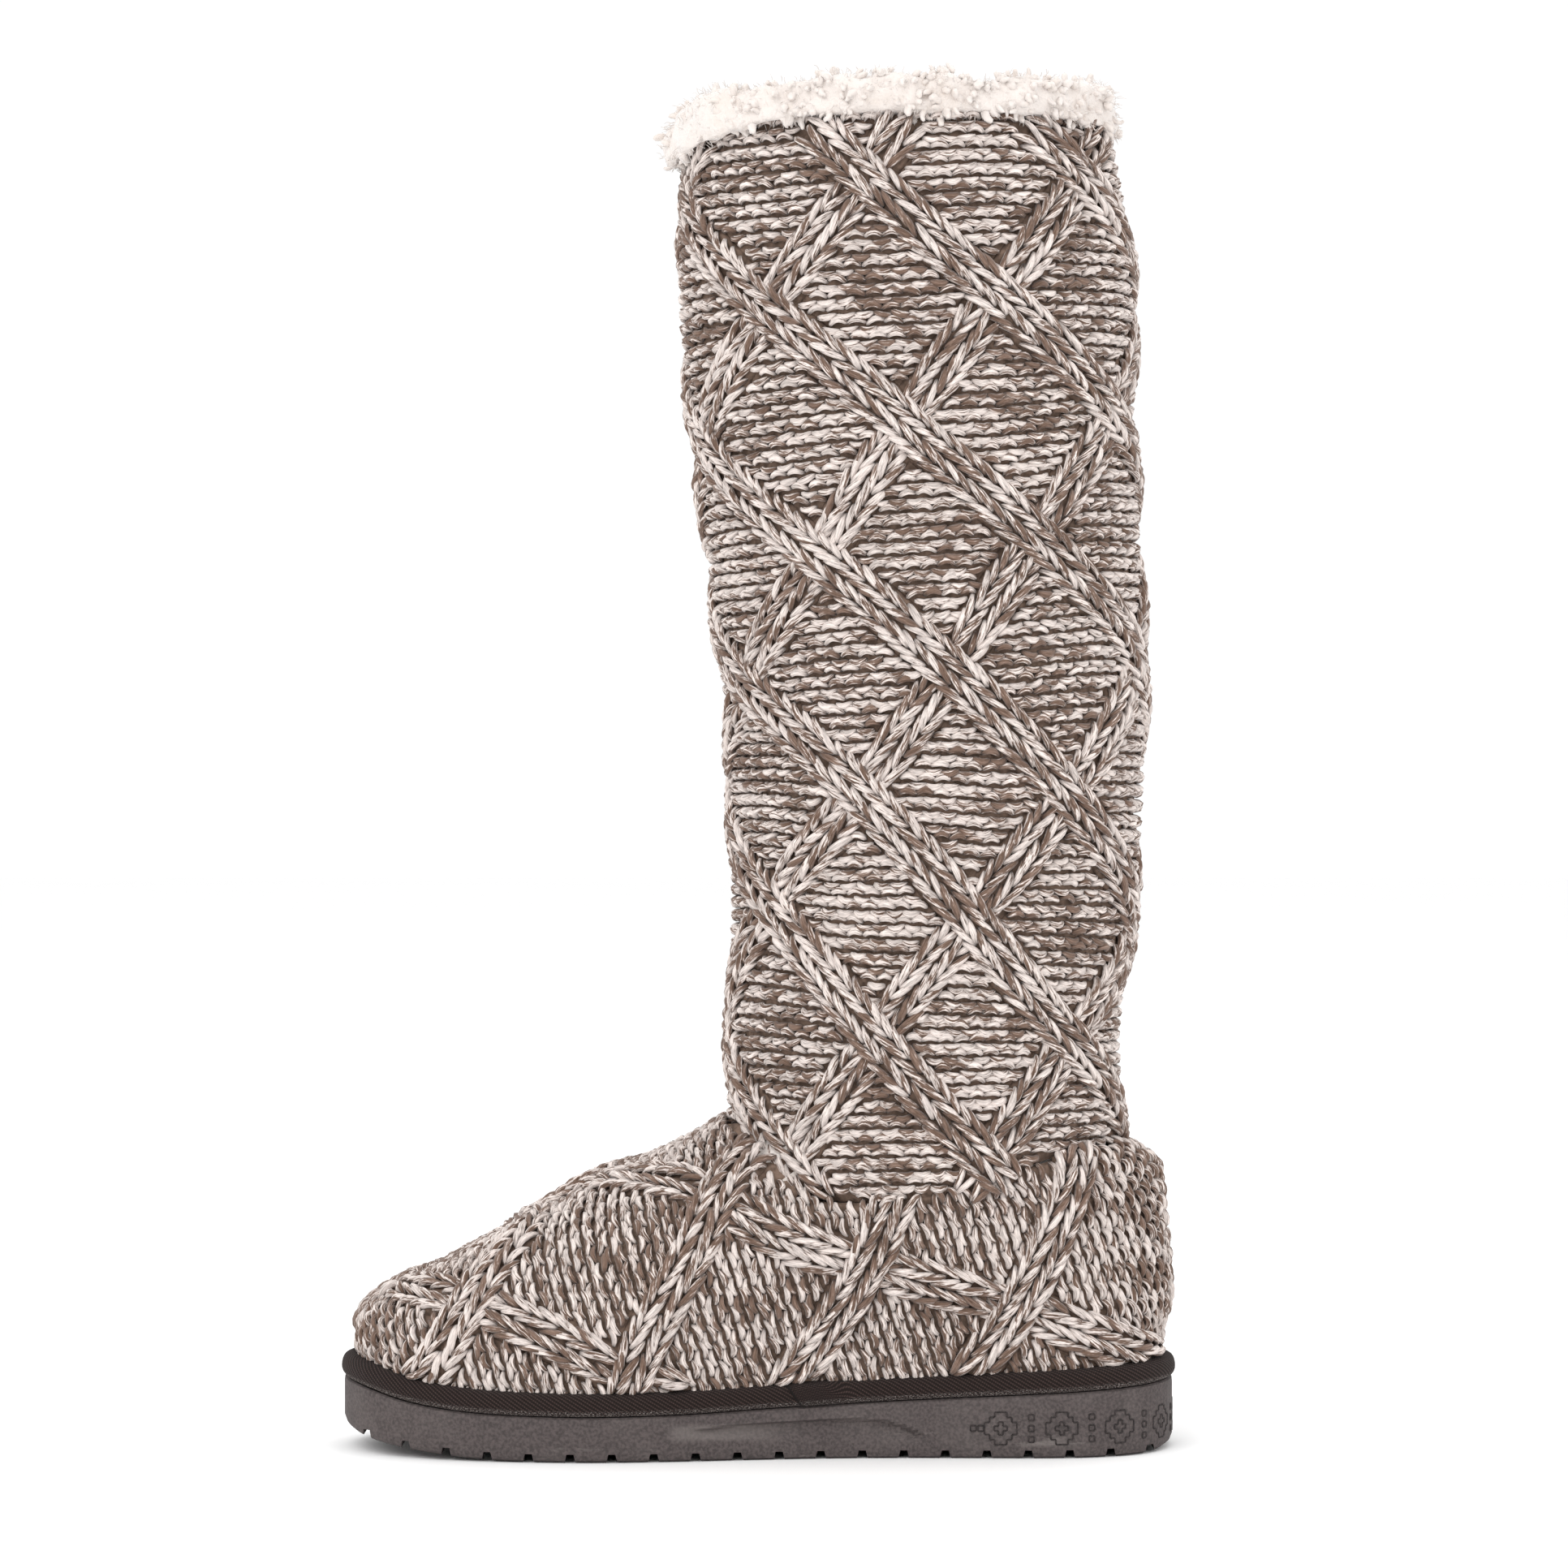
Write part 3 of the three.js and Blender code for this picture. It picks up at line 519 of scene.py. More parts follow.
class Skin:
    """The smooth outside of a knitted piece, which yarn is laid on."""

    def __init__(self, rows):
        quads = grid_quads(rows.shape[0], rows.shape[1], False)
        self.tree = BVHTree.FromPolygons(rows.reshape(-1, 3).tolist(), quads.tolist())

    def seat(self, places):
        """The nearest points of the skin, and the way out of it there."""
        found = [self.tree.find_nearest(place) for place in places.reshape(-1, 3).tolist()]
        spots = np.array([tuple(hit[0]) for hit in found]).reshape(places.shape)
        out = np.array([tuple(hit[1]) for hit in found]).reshape(places.shape)
        return spots, out


def grid_quads(rows, count, looped):
    """Faces of a grid that closes round its columns, and over its rows if it is looped."""
    r = np.arange(rows if looped else rows - 1)[:, None]
    c = np.arange(count)[None, :]
    up, on = (r + 1) % rows, (c + 1) % count
    return stacked(r * count + c, r * count + on, up * count + on, up * count + c).reshape(-1, 4)


NO_TRIANGLES = np.zeros((0, 3), int)


def new_piece(name, points, quads, triangles=NO_TRIANGLES, maps=None, marks=None):
    """A mesh object from points in millimetres, with its corners' maps and its points' marks."""
    mesh = bpy.data.meshes.new(name)
    corners = np.concatenate([quads.ravel(), triangles.ravel()])
    starts = np.concatenate([np.arange(len(quads)) * 4, quads.size + np.arange(len(triangles)) * 3])
    mesh.vertices.add(len(points))
    mesh.vertices.foreach_set("co", (points * MM).astype(np.float32).ravel())
    mesh.loops.add(len(corners))
    mesh.loops.foreach_set("vertex_index", corners.astype(np.int32))
    mesh.polygons.add(len(starts))
    mesh.polygons.foreach_set("loop_start", starts.astype(np.int32))
    mesh.update(calc_edges=True)
    mesh.shade_smooth()
    for label, places in (maps or {}).items():
        mesh.uv_layers.new(name=label).data.foreach_set("uv", places.astype(np.float32).ravel())
    for label, values in (marks or {}).items():
        mesh.attributes.new(label, "FLOAT", "POINT").data.foreach_set("value", values.astype(np.float32))
    piece = bpy.data.objects.new(name, mesh)
    bpy.context.scene.collection.objects.link(piece)
    return piece


def grid_piece(name, rows, looped):
    """A piece through rows of points that close round, with a map in millimetres and one to bake."""
    count, columns = rows.shape[:2]
    points = rows.reshape(-1, 3)
    quads = grid_quads(count, columns, looped)
    steps_on = np.linalg.norm(np.roll(rows, -1, axis=1) - rows, axis=-1).mean(axis=0)
    steps_up = np.linalg.norm(np.roll(rows, -1, axis=0) - rows, axis=-1).mean(axis=1)
    on = np.concatenate([[0], np.cumsum(steps_on)])
    up = np.concatenate([[0], np.cumsum(steps_up)])
    r, c = np.divmod(np.arange(len(quads)), columns)
    corners = [(r, c), (r, c + 1), (r + 1, c + 1), (r + 1, c)]
    layout = np.stack([stacked(on[j], up[i]) for i, j in corners], axis=1)
    last = count if looped else count - 1
    bake = np.stack([stacked(j / columns, i / last) for i, j in corners], axis=1)
    return new_piece(name, points, quads, maps={"layout": layout, "OFBake": bake * 0.98 + 0.01})


def stacks(rings, tips):
    """Points, faces and corner maps of many closed tubes, each through its rings and to its two tips."""
    count, rows, sides = rings.shape[:3]
    each = rows * sides + 2
    points = np.concatenate([rings.reshape(count, -1, 3), tips], axis=1).reshape(-1, 3)
    i, j = (a.ravel() for a in np.meshgrid(np.arange(rows - 1), np.arange(sides), indexing="ij"))
    on = (j + 1) % sides
    quads = stacked(i * sides + j, (i + 1) * sides + j, (i + 1) * sides + on, i * sides + on)
    j = np.arange(sides)
    on = (j + 1) % sides
    first = stacked(rows * sides, j, on)
    end = (rows - 1) * sides
    second = stacked(end + j, rows * sides + 1, end + on)
    triangles = np.concatenate([first, second])
    shift = (np.arange(count) * each)[:, None, None]
    return points, (quads + shift).reshape(-1, 4), (triangles + shift).reshape(-1, 3)


def tube_maps(count, rows, sides, length):
    """Corner maps of equal tubes: along in millimetres and around in turns, and cells for baking."""
    along = np.arange(1, rows + 1) / (rows + 1)
    i, j = (a.ravel() for a in np.meshgrid(np.arange(rows - 1), np.arange(sides), indexing="ij"))
    quads = [(along[i], j), (along[i + 1], j), (along[i + 1], j + 1), (along[i], j + 1)]
    j = np.arange(sides)
    first = [(along[0] * 0, j + 0.5), (along[0], j), (along[0], j + 1)]
    second = [(along[-1], j), (along[-1] * 0 + 1, j + 0.5), (along[-1], j + 1)]
    shapes = [np.stack([stacked(a, b / sides) for a, b in part], axis=1) for part in (quads, first, second)]
    quad_part = np.broadcast_to(shapes[0], (count, *shapes[0].shape))
    tri_part = np.broadcast_to(np.concatenate(shapes[1:]), (count, 2 * sides, 3, 2))
    cells = math.ceil(math.sqrt(count))
    number = np.arange(count)
    corner = stacked(number % cells, number // cells)[:, None, None, :]
    yarn = [part * np.array([length, 1.0]) for part in (quad_part, tri_part)]
    bake = [(corner + 0.06 + part * 0.88) / cells for part in (quad_part, tri_part)]
    return {
        "yarn": np.concatenate([part.reshape(-1, 2) for part in yarn]),
        "OFBake": np.concatenate([part.reshape(-1, 2) for part in bake]),
    }


def tube_rings(spines, out, radii, sides, flat=1.0):
    """Rings round each spine between its tips."""
    tangent = unit(np.gradient(spines, axis=1))
    side = unit(np.cross(tangent, out))
    up = np.cross(side, tangent)
    turn = (np.arange(sides) + 0.5) / sides * TURN
    across = np.cos(turn)[:, None] * side[:, 1:-1, None, :]
    rise = flat * np.sin(turn)[:, None] * up[:, 1:-1, None, :]
    return spines[:, 1:-1, None, :] + radii[:, 1:-1, None, None] * (across + rise)


def yarn_piece(name, yarn, length, sides=5):
    """One piece of many short lengths of yarn."""
    spines, out, radii, tone, chance = yarn
    count, steps = spines.shape[:2]
    rings = tube_rings(spines, out, radii, sides)
    points, quads, triangles = stacks(rings, spines[:, [0, -1]])
    # 0 in the middle of a length and 1 at its tips: the yarn's paint darkens the tips with it as painted
    # shade
    deep = np.abs(np.linspace(-1, 1, steps))
    deep = np.concatenate([np.repeat(deep[1:-1], sides), deep[[0, -1]]])
    each = len(deep)
    marks = {"tone": np.repeat(tone, each), "chance": np.repeat(chance, each), "deep": np.tile(deep, count)}
    return new_piece(name, points, quads, triangles, tube_maps(count, steps - 2, sides, length), marks)


def joined(parts):
    """Several meshes' points, quads and triangles as one."""
    points, quads, triangles, start = [], [], [], 0
    for part_points, part_quads, part_triangles in parts:
        points.append(part_points)
        quads.append(part_quads + start)
        triangles.append(part_triangles + start)
        start += len(part_points)
    return np.concatenate(points), np.concatenate(quads), np.concatenate(triangles)


class Wire:
    """A shader socket that takes part in sums: each operator adds a Math node."""

    def __init__(self, paint, socket):
        self.paint = paint
        self.socket = socket

    def math(self, operation, *values):
        return self.paint.node("ShaderNodeMath", {"operation": operation}, *values)

    def __add__(self, other):
        return self.math("ADD", self, other)

    def __radd__(self, other):
        return self.math("ADD", other, self)

    def __sub__(self, other):
        return self.math("SUBTRACT", self, other)

    def __rsub__(self, other):
        return self.math("SUBTRACT", other, self)

    def __mul__(self, other):
        return self.math("MULTIPLY", self, other)

    def __rmul__(self, other):
        return self.math("MULTIPLY", other, self)

    def __truediv__(self, other):
        return self.math("DIVIDE", self, other)

    def __rtruediv__(self, other):
        return self.math("DIVIDE", other, self)

    def sine(self):
        return self.math("SINE", self)

    def size(self):
        return self.math("ABSOLUTE", self)

    def between(self, low, high):
        """0 below low and 1 above high, with a soft passage between."""
        settings = {"interpolation_type": "SMOOTHSTEP"}
        return self.paint.node("ShaderNodeMapRange", settings, self, low, high, 0.0, 1.0)


class Paint:
    """One material and its nodes."""

    def __init__(self, name, **finish):
        self.material = bpy.data.materials.new(name)
        self.material.use_nodes = True
        self.tree = self.material.node_tree
        self.tree.nodes.clear()
        labels = [label.replace("_", " ").title().replace("Ior", "IOR") for label in finish]
        self.shader = self.node("ShaderNodeBsdfPrincipled", {}, **dict(zip(labels, finish.values())))
        self.node("ShaderNodeOutputMaterial", {}, self.shader)

    def put(self, socket, value):
        """Sets a socket's value or links it."""
        if isinstance(value, Wire):
            self.tree.links.new(value.socket, socket)
        elif value is not None:
            socket.default_value = value

    def node(self, kind, settings, *values, output=0, **named):
        """Any node, from its type, its settings, and its sockets' values or links."""
        made = self.tree.nodes.new(kind)
        for label, value in settings.items():
            setattr(made, label, value)
        for socket, value in zip(made.inputs, values):
            self.put(socket, value)
        for label, value in named.items():
            self.put(next(s for s in made.inputs if s.identifier == label or s.name == label), value)
        return Wire(self, made.outputs[output]) if made.outputs else None

    def blend(self, share, low, high):
        """A colour between two colours."""
        settings = {"data_type": "RGBA"}
        low, high = (value if isinstance(value, Wire) else (*value, 1) for value in (low, high))
        named = {"Factor_Float": share, "A_Color": low, "B_Color": high}
        return self.node("ShaderNodeMix", settings, output=2, **named)

    def shaded(self, colour, amount):
        """A colour made darker or lighter by an amount."""
        grey = self.node("ShaderNodeCombineColor", {}, amount, amount, amount)
        settings = {"data_type": "RGBA", "blend_type": "MULTIPLY"}
        named = {"Factor_Float": 1.0, "A_Color": colour, "B_Color": grey}
        return self.node("ShaderNodeMix", settings, output=2, **named)

    def vector(self, x, y, z=0.0):
        return self.node("ShaderNodeCombineXYZ", {}, x, y, z)

    def map(self, label):
        """The two parts of a corner map."""
        layer = self.node("ShaderNodeUVMap", {"uv_map": label})
        return self.parts(layer)[:2]

    def parts(self, vector):
        return [self.node("ShaderNodeSeparateXYZ", {}, vector, output=k) for k in range(3)]

    def mark(self, label):
        return self.node("ShaderNodeAttribute", {"attribute_name": label}, output=2)

    def place(self):
        """The place on the object, in metres."""
        return self.node("ShaderNodeTexCoord", {}, output=3)

    def noise(self, vector, scale, detail=3.0, roughness=0.5):
        named = {"Vector": vector, "Scale": scale, "Detail": detail, "Roughness": roughness}
        return self.node("ShaderNodeTexNoise", {}, **named)

    def finish(self, colour, roughness=None, height=None, depth=1.0, strength=1.0):
        """Links the surface's colour, roughness and relief, whose depth is in metres."""
        sockets = self.shader.socket.node.inputs
        self.put(sockets["Base Color"], colour)
        self.put(sockets["Roughness"], roughness)
        if height is not None:
            named = {"Strength": strength, "Distance": depth, "Height": height}
            self.put(sockets["Normal"], self.node("ShaderNodeBump", {}, **named))
        return self.material


def scaled(colour, *shares):
    """A colour made darker or lighter, in all its parts or in each."""
    return tuple(np.array(colour) * shares)


def shades(colour, *shares):
    """Several shades of a colour, by shares of its brightness."""
    return [scaled(colour, share) for share in shares]


def size_property(name, description, default):
    return bpy.props.FloatProperty(
        name=name, description=description, default=default, min=0.0, precision=5, unit="LENGTH"
    )


def number_property(name, description, default):
    return bpy.props.FloatProperty(name=name, description=description, default=default, min=0.0)


def count_property(name, description, default):
    return bpy.props.IntProperty(name=name, description=description, default=default, min=0)


def colour_property(name, description, default):
    return bpy.props.FloatVectorProperty(
        name=name, description=description, default=default, size=3, min=0.0, max=1.0, subtype="COLOR"
    )


class BootKnit(bpy.types.PropertyGroup):
    """Sizes and colours of the knit."""

    wale: size_property("Wale", "Width of one purl stitch", 0.0061)
    course: size_property("Course", "Height of one course of the ground", 0.0046)
    yarn: size_property("Yarn", "Width of the yarn in the ground", 0.00235)
    cable_width: size_property("Cable width", "Width of a cable", 0.015)
    cable_rise: size_property("Cable rise", "How far a cable stands above the ground", 0.0026)
    leg: size_property("Leg", "Length of one leg of a cable's stitches", 0.0105)
    leg_yarn: size_property("Leg yarn", "Width of the yarn in a cable", 0.00245)
    marl: size_property("Marl", "Length in which the two plies turn once round each other", 0.024)
    cream: colour_property("Cream", "Colour of the pale ply", (0.635, 0.562, 0.525))
    brown: colour_property("Brown", "Colour of the dark ply", (0.136, 0.076, 0.049))
    # The depth colour is the yarn under the stitches with painted shade in it
    depth: colour_property("Depth", "Colour deep between the stitches", (0.11, 0.076, 0.058))


class BootTrim(bpy.types.PropertyGroup):
    """Sizes and colours of the fleece, the binding and the sole."""

    tuft: size_property("Tuft", "Length of a curly tuft of the fleece", 0.0065)
    tufts: count_property("Tufts", "How many tufts the cuff has", 1400)
    hair: size_property("Hair", "Length of a fine hair of the fleece", 0.0052)
    hairs: count_property("Hairs", "How many fine hairs the cuff has", 3400)
    pile: size_property("Pile", "Depth of the lining's pile", 0.0035)
    fleece: colour_property("Fleece", "Colour of the fleece", (0.73, 0.67, 0.632))
    twill: size_property("Twill", "Pitch of the binding's twill lines", 0.0011)
    tape: colour_property("Tape", "Colour of the binding", (0.034, 0.022, 0.0195))
    dust: colour_property("Dust", "Colour of the dust on the binding", (0.36, 0.32, 0.3))
    foam: colour_property("Foam", "Colour of the sole", (0.091, 0.073, 0.071))
    scuff: colour_property("Scuff", "Colour of the sole's scuffs", (0.2, 0.175, 0.165))


class BootStage(bpy.types.PropertyGroup):
    """The floor, the light and the camera."""

    floor: colour_property("Floor", "Colour of the floor", (0.985, 0.985, 0.985))
    key: number_property("Key", "Power of the key light in watts", 19.0)
    fill: number_property("Fill", "Power of the fill light in watts", 7.0)
    sky: number_property("Sky", "Strength of the light all round", 1.02)
    distance: size_property("Distance", "How far the camera stands from the boot's middle", 1.5)
    frame_width: size_property("Frame width", "Width of the picture at the boot's middle", 0.5167)


def on_boot(piece, material, slot, *nodes):
    """Gives a piece its material. The slot is not used. It rides with the boot and stands for the given
    solids.
    """
    piece.data.materials.append(material)
    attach(piece, "root")
    if nodes:
        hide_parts(*nodes)


def yarn_paint(name, knit, pale=0.5):
    """Marled yarn: a pale and a dark ply that turn slowly round each other, with loose fibres, and painted
    shade towards the tips of each length.
    """
    paint = Paint(name, roughness=0.95, sheen_weight=0.2, sheen_roughness=0.6, specular_ior_level=0.2)
    along, around = paint.map("yarn")
    tone, chance, deep = paint.mark("tone"), paint.mark("chance"), paint.mark("deep")
    twist = around + along / (knit.marl / MM) + chance
    strands = paint.vector(along * 0.17 + chance * 90.0, around * 8.0, chance * 70.0)
    strand = paint.noise(strands, 1.0, 3.0, 0.6)
    hairs = paint.vector(along * 0.5 + chance * 50.0, around * 21.0, chance * 20.0)
    hair = paint.noise(hairs, 1.0, 2.0, 0.6)
    wave = (twist * TURN).sine() * 0.5 + 0.5
    streaks = (strand - 0.5) * 2.5 + (hair - 0.5) * 1.4
    share = (wave * 0.6 + 0.2 + streaks + (tone - 1 + pale) * 1.1).between(0.32, 0.68)
    wisps = strand.between(0.33, 0.67) * 0.42 + hair.between(0.36, 0.64) * 0.38
    base = paint.blend(share * 0.88 + wisps * 0.13, tuple(knit.brown), tuple(knit.cream))
    # The fibres' own light and dark streaks, and painted shade that deepens towards the tips where the yarn
    # dives into the knit
    shade = (0.63 + wisps) * (1 - 0.4 * deep * deep * deep)
    colour = paint.shaded(base, shade)
    relief = strand * 0.6 + hair * 0.5 + (twist * (2 * TURN)).sine() * 0.25
    return paint.finish(colour, height=relief, depth=0.0005, strength=0.7)


def depth_paint(name, knit):
    """What shows deep between the stitches: a dark brown sheet that stands for the yarn below them and is
    painted as the shade between them.
    """
    paint = Paint(name, roughness=1.0, specular_ior_level=0.1)
    grain = paint.noise(paint.place(), 420.0, 4.0)
    colour = paint.blend(grain.between(0.3, 0.7), tuple(knit.depth), scaled(knit.depth, 2.1))
    return paint.finish(colour, height=grain, depth=0.0006)


def fleece_paint(name, trim, relief=0.0012):
    """Curly pile, darker and warmer where the curl is low: painted shade in the hollows of its bump, with a
    warm tint.
    """
    paint = Paint(name, roughness=1.0, sheen_weight=0.7, sheen_roughness=0.5, specular_ior_level=0.1)
    place = paint.place()
    curl = paint.noise(place, 330.0, 3.0, 0.6)
    cloud = paint.noise(place, 60.0, 2.0)
    warm_shade = scaled(trim.fleece, 0.95, 0.93, 0.91)
    # The warm colour is a little darker and falls where the curl is low: painted shade in the pile's hollows,
    # with a warm tint
    colour = paint.blend((curl * 0.5 + cloud * 0.5).between(0.36, 0.56), warm_shade, tuple(trim.fleece))
    return paint.finish(colour, height=curl if relief else None, depth=relief)


def knitted(name, yarn, length, knit, slot, pale=0.5):
    """A piece of many short lengths of marled yarn."""
    material = yarn_paint(name.replace("_", " ") + " yarn", knit, pale)
    on_boot(yarn_piece(name, yarn, length), material, slot)


def backing(part, node, rows, beds, knit):
    """The closed wall behind a part's stitches with the beds of its cables, in place of the plain solid."""
    wall = (rows.reshape(-1, 3), grid_quads(*rows.shape[:2], True), NO_TRIANGLES)
    piece = new_piece(f"{part}_wall", *joined([wall, *beds]))
    # The wall and the beds are painted dark as the shade between the stitches
    on_boot(piece, depth_paint(f"depth of the {part}'s knit", knit), f"{part}_knit", node)


def random_tone(lumps, places, rng, spread=0.5):
    """How pale each length of yarn is: runs of a row and patches of rows are alike."""
    patches = lumps.at(places * np.array([1.0, 1.0, 2.6]), 21.0)
    runs = lumps.at(places * np.array([1.0, 1.0, 6.0]) + 900, 13.0)
    return 0.53 + spread * (0.6 * patches + 0.6 * runs) + rng.normal(0, 0.13, len(places))


def arc_yarn(skin, centres, along, bows, lengths, thick, lumps, rng):
    """Purl bumps: short bowed lengths of yarn whose ends go down into the knit."""
    count = len(centres)
    t = np.linspace(-1, 1, YARN_STEPS)[None, :, None]
    spots, out = skin.seat(centres)
    along = unit(along - out * np.sum(along * out, axis=-1, keepdims=True))
    side = np.cross(out, along)
    lean = rng.normal(0, 0.1, (count, 1, 1))
    length = (lengths * rng.uniform(0.94, 1.08, count))[:, None, None]
    bow = (bows * rng.uniform(0.7, 1.25, count))[:, None, None]
    reach = along[:, None] * t * length / 2
    across = side[:, None] * (bow * (0.49 - t * t) + lean * t * length / 2)
    seats, normals = skin.seat(spots[:, None] + reach + across)
    radius = thick / 2 * rng.uniform(0.88, 1.14, count)[:, None]
    t = t[..., 0]
    lift = radius * 0.8 * (1 - t**2) - 1.7 * np.abs(t) ** 3.4
    spines = seats + normals * lift[..., None]
    radii = radius * tapered(t, 2.6)
    return spines, normals, radii, random_tone(lumps, spots, rng), rng.uniform(0, 1, count)


def resampled(points, pitch):
    """Points at equal steps along a line."""
    length = lengths_along(points)
    count = max(int(round(length[-1] / pitch)), 2)
    at = np.linspace(0, length[-1], count + 1)
    return stacked(*(np.interp(at, length, part) for part in points.T))


def smooth_line(points, steps=8):
    """A smooth line through some points."""
    rows = {"step": np.arange(len(points)), **dict(enumerate(points.T))}
    at = np.linspace(0, len(points) - 1, (len(points) - 1) * steps + 1)
    return stacked(*(column(rows, "step", part, at) for part in range(points.shape[1])))


class Nearby:
    """Distances to the nearest of some points."""

    def __init__(self, points):
        self.tree = KDTree(len(points))
        for number, point in enumerate(points.tolist()):
            self.tree.insert(point, number)
        self.tree.balance()

    def far(self, places):
        found = [self.tree.find(place)[2] for place in places.reshape(-1, 3).tolist()]
        return np.array(found).reshape(places.shape[:-1])


def line_distances(cables):
    """Distances to the cables that pass over, and to all cables."""
    lines = [resampled(line, LINE_STEP) for line, over in cables]
    over_lines = [line for line, cable in zip(lines, cables) if cable[1]]
    return Nearby(np.concatenate(over_lines)), Nearby(np.concatenate(lines))


def bed_height(across, half):
    """Height of a cable's bed across it, as a share of its rise."""
    return np.clip(1 - np.abs(across / half) ** 2.6, 0, 1) ** 0.6


def cable_levels(line, over, over_lines):
    """How high a cable lies along its line: low at the toe's tip and under the cables that pass over."""
    flat = mix(0.3, 1, ease(-134.0, -116.0, line[:, 0]))
    if over:
        return flat
    return flat * (0.12 + 0.88 * ease(7.0, 15.0, over_lines.far(line)))


def seated(skin, line):
    """A line's points laid on the skin, the way along it, and the way across it."""
    spots, out = skin.seat(line)
    tangent = unit(np.gradient(spots, axis=0))
    return spots, tangent, unit(np.cross(out, tangent))


def cable_beds(skin, cables, over_lines, knit):
    """The raised beds under the cables' stitches."""
    half = knit.cable_width / MM / 2
    rise = knit.cable_rise / MM
    profile = np.array([-1.08, -0.85, -0.45, 0.0, 0.45, 0.85, 1.08, 0.9, -0.9]) * half
    parts = []
    for points, over in cables:
        line = resampled(points, BED_STEP)
        level = cable_levels(line, over, over_lines)
        spots, _, side = seated(skin, line)
        seats, normals = skin.seat(spots[:, None] + side[:, None] * profile[:, None])
        height = bed_height(profile, half) * (rise - 1.1) * level[:, None] - 0.8
        height[:, 7:] = -2.6
        rings = (seats + normals * height[..., None])[None]
        tips = rings[:, [0, -1]].mean(axis=2)
        parts.append(stacks(rings[:, :, ::-1], tips))
    return parts


def cable_yarn(skin, cables, over_lines, knit, lumps, rng):
    """Knit stitches of the cables: two columns of chevrons that point down along each."""
    half = knit.cable_width / MM / 2
    rise = knit.cable_rise / MM
    t = np.linspace(-1, 1, YARN_STEPS)[None, None, :, None]
    wale = np.array([-0.5, -0.5, 0.5, 0.5])[None, :, None, None] * half
    lean = np.array([-1, 1, -1, 1])[None, :, None, None]
    made = []
    for points, over in cables:
        line = resampled(points, CHEVRON_STEP)
        level = cable_levels(line, over, over_lines)
        away = over_lines.far(line) if not over else np.full(len(line), 99.0)
        keep = away > 5.5
        spots, tangent, side, level = (part[keep] for part in (*seated(skin, line), level))
        count = len(spots)
        sway = rng.normal(0, 0.22, (count, 4, 1, 1))
        length = knit.leg / MM * rng.uniform(0.9, 1.12, (count, 4, 1, 1))
        across = wale + lean * (half * 0.24 - half * 0.21 * t) + sway
        across = across * (0.82 + 0.18 * level[:, None, None, None])
        along = t * length / 2 + rng.normal(0, 0.35, (count, 4, 1, 1)) + lean * 0.3
        places = spots[:, None, None] + tangent[:, None, None] * along + side[:, None, None] * across
        seats, normals = skin.seat(places)
        radius = knit.leg_yarn / MM / 2 * rng.uniform(0.88, 1.15, (count, 4, 1))
        end = t[..., 0]
        bed = bed_height(across[..., 0], half) * rise * level[:, None, None]
        hump = radius * 0.85 * (1 - end**2) - 2.0 * np.abs(end) ** 3
        tuck = 1.3 * np.clip(knit_foot(seats[..., 0]) + 1.6 - seats[..., 2], 0, 6)
        spines = seats + normals * (bed + hump - 0.5 - tuck)[..., None]
        radii = radius * tapered(end, 2.2)
        tone = random_tone(lumps, places[:, :, 3].reshape(-1, 3), rng, 0.34)
        shapes = [part.reshape(count * 4, *part.shape[2:]) for part in (spines, normals, radii)]
        made.append((*shapes, tone, rng.uniform(0, 1, count * 4)))
    return tuple(np.concatenate(part) for part in zip(*made))


def shaft_skin():
    theta = even_theta(turns(COLUMNS["shaft skin"]))
    rise = np.linspace(-0.16, 1.02, ROWS["shaft skin"])
    return Skin(shaft_point(theta[None, :], rise[:, None]))


def shaft_cables():
    """The shaft's cables from the collar down: the ones that fall towards the back pass over the others."""
    cables = []
    downs = np.linspace(0.05, SHAFT_RISE / CABLE_REPEAT + 0.4, 420)
    for number in range(CABLES_AROUND):
        other = 2 * (downs - LATTICE_START) - number
        for over in (True, False):
            line = lattice_point(number, other) if over else lattice_point(other, number)
            inside = line[:, 2] > seam_height(line[:, 0]) - 1
            cables.append((line[inside], over))
    return cables


def rim_loop(outer, inner):
    """Rows of a closed wall: up its outside and down its inside."""
    return np.concatenate([outer, inner[::-1]])


def pile_bumps(lumps, rows, out, depth):
    """Moves rows of points out and in as curly pile does."""
    small = lumps.at(rows, 3.6)
    large = lumps.at(rows + 300, 9.0)
    return rows + out * (depth * (0.55 * small + 0.45 * large))[..., None]


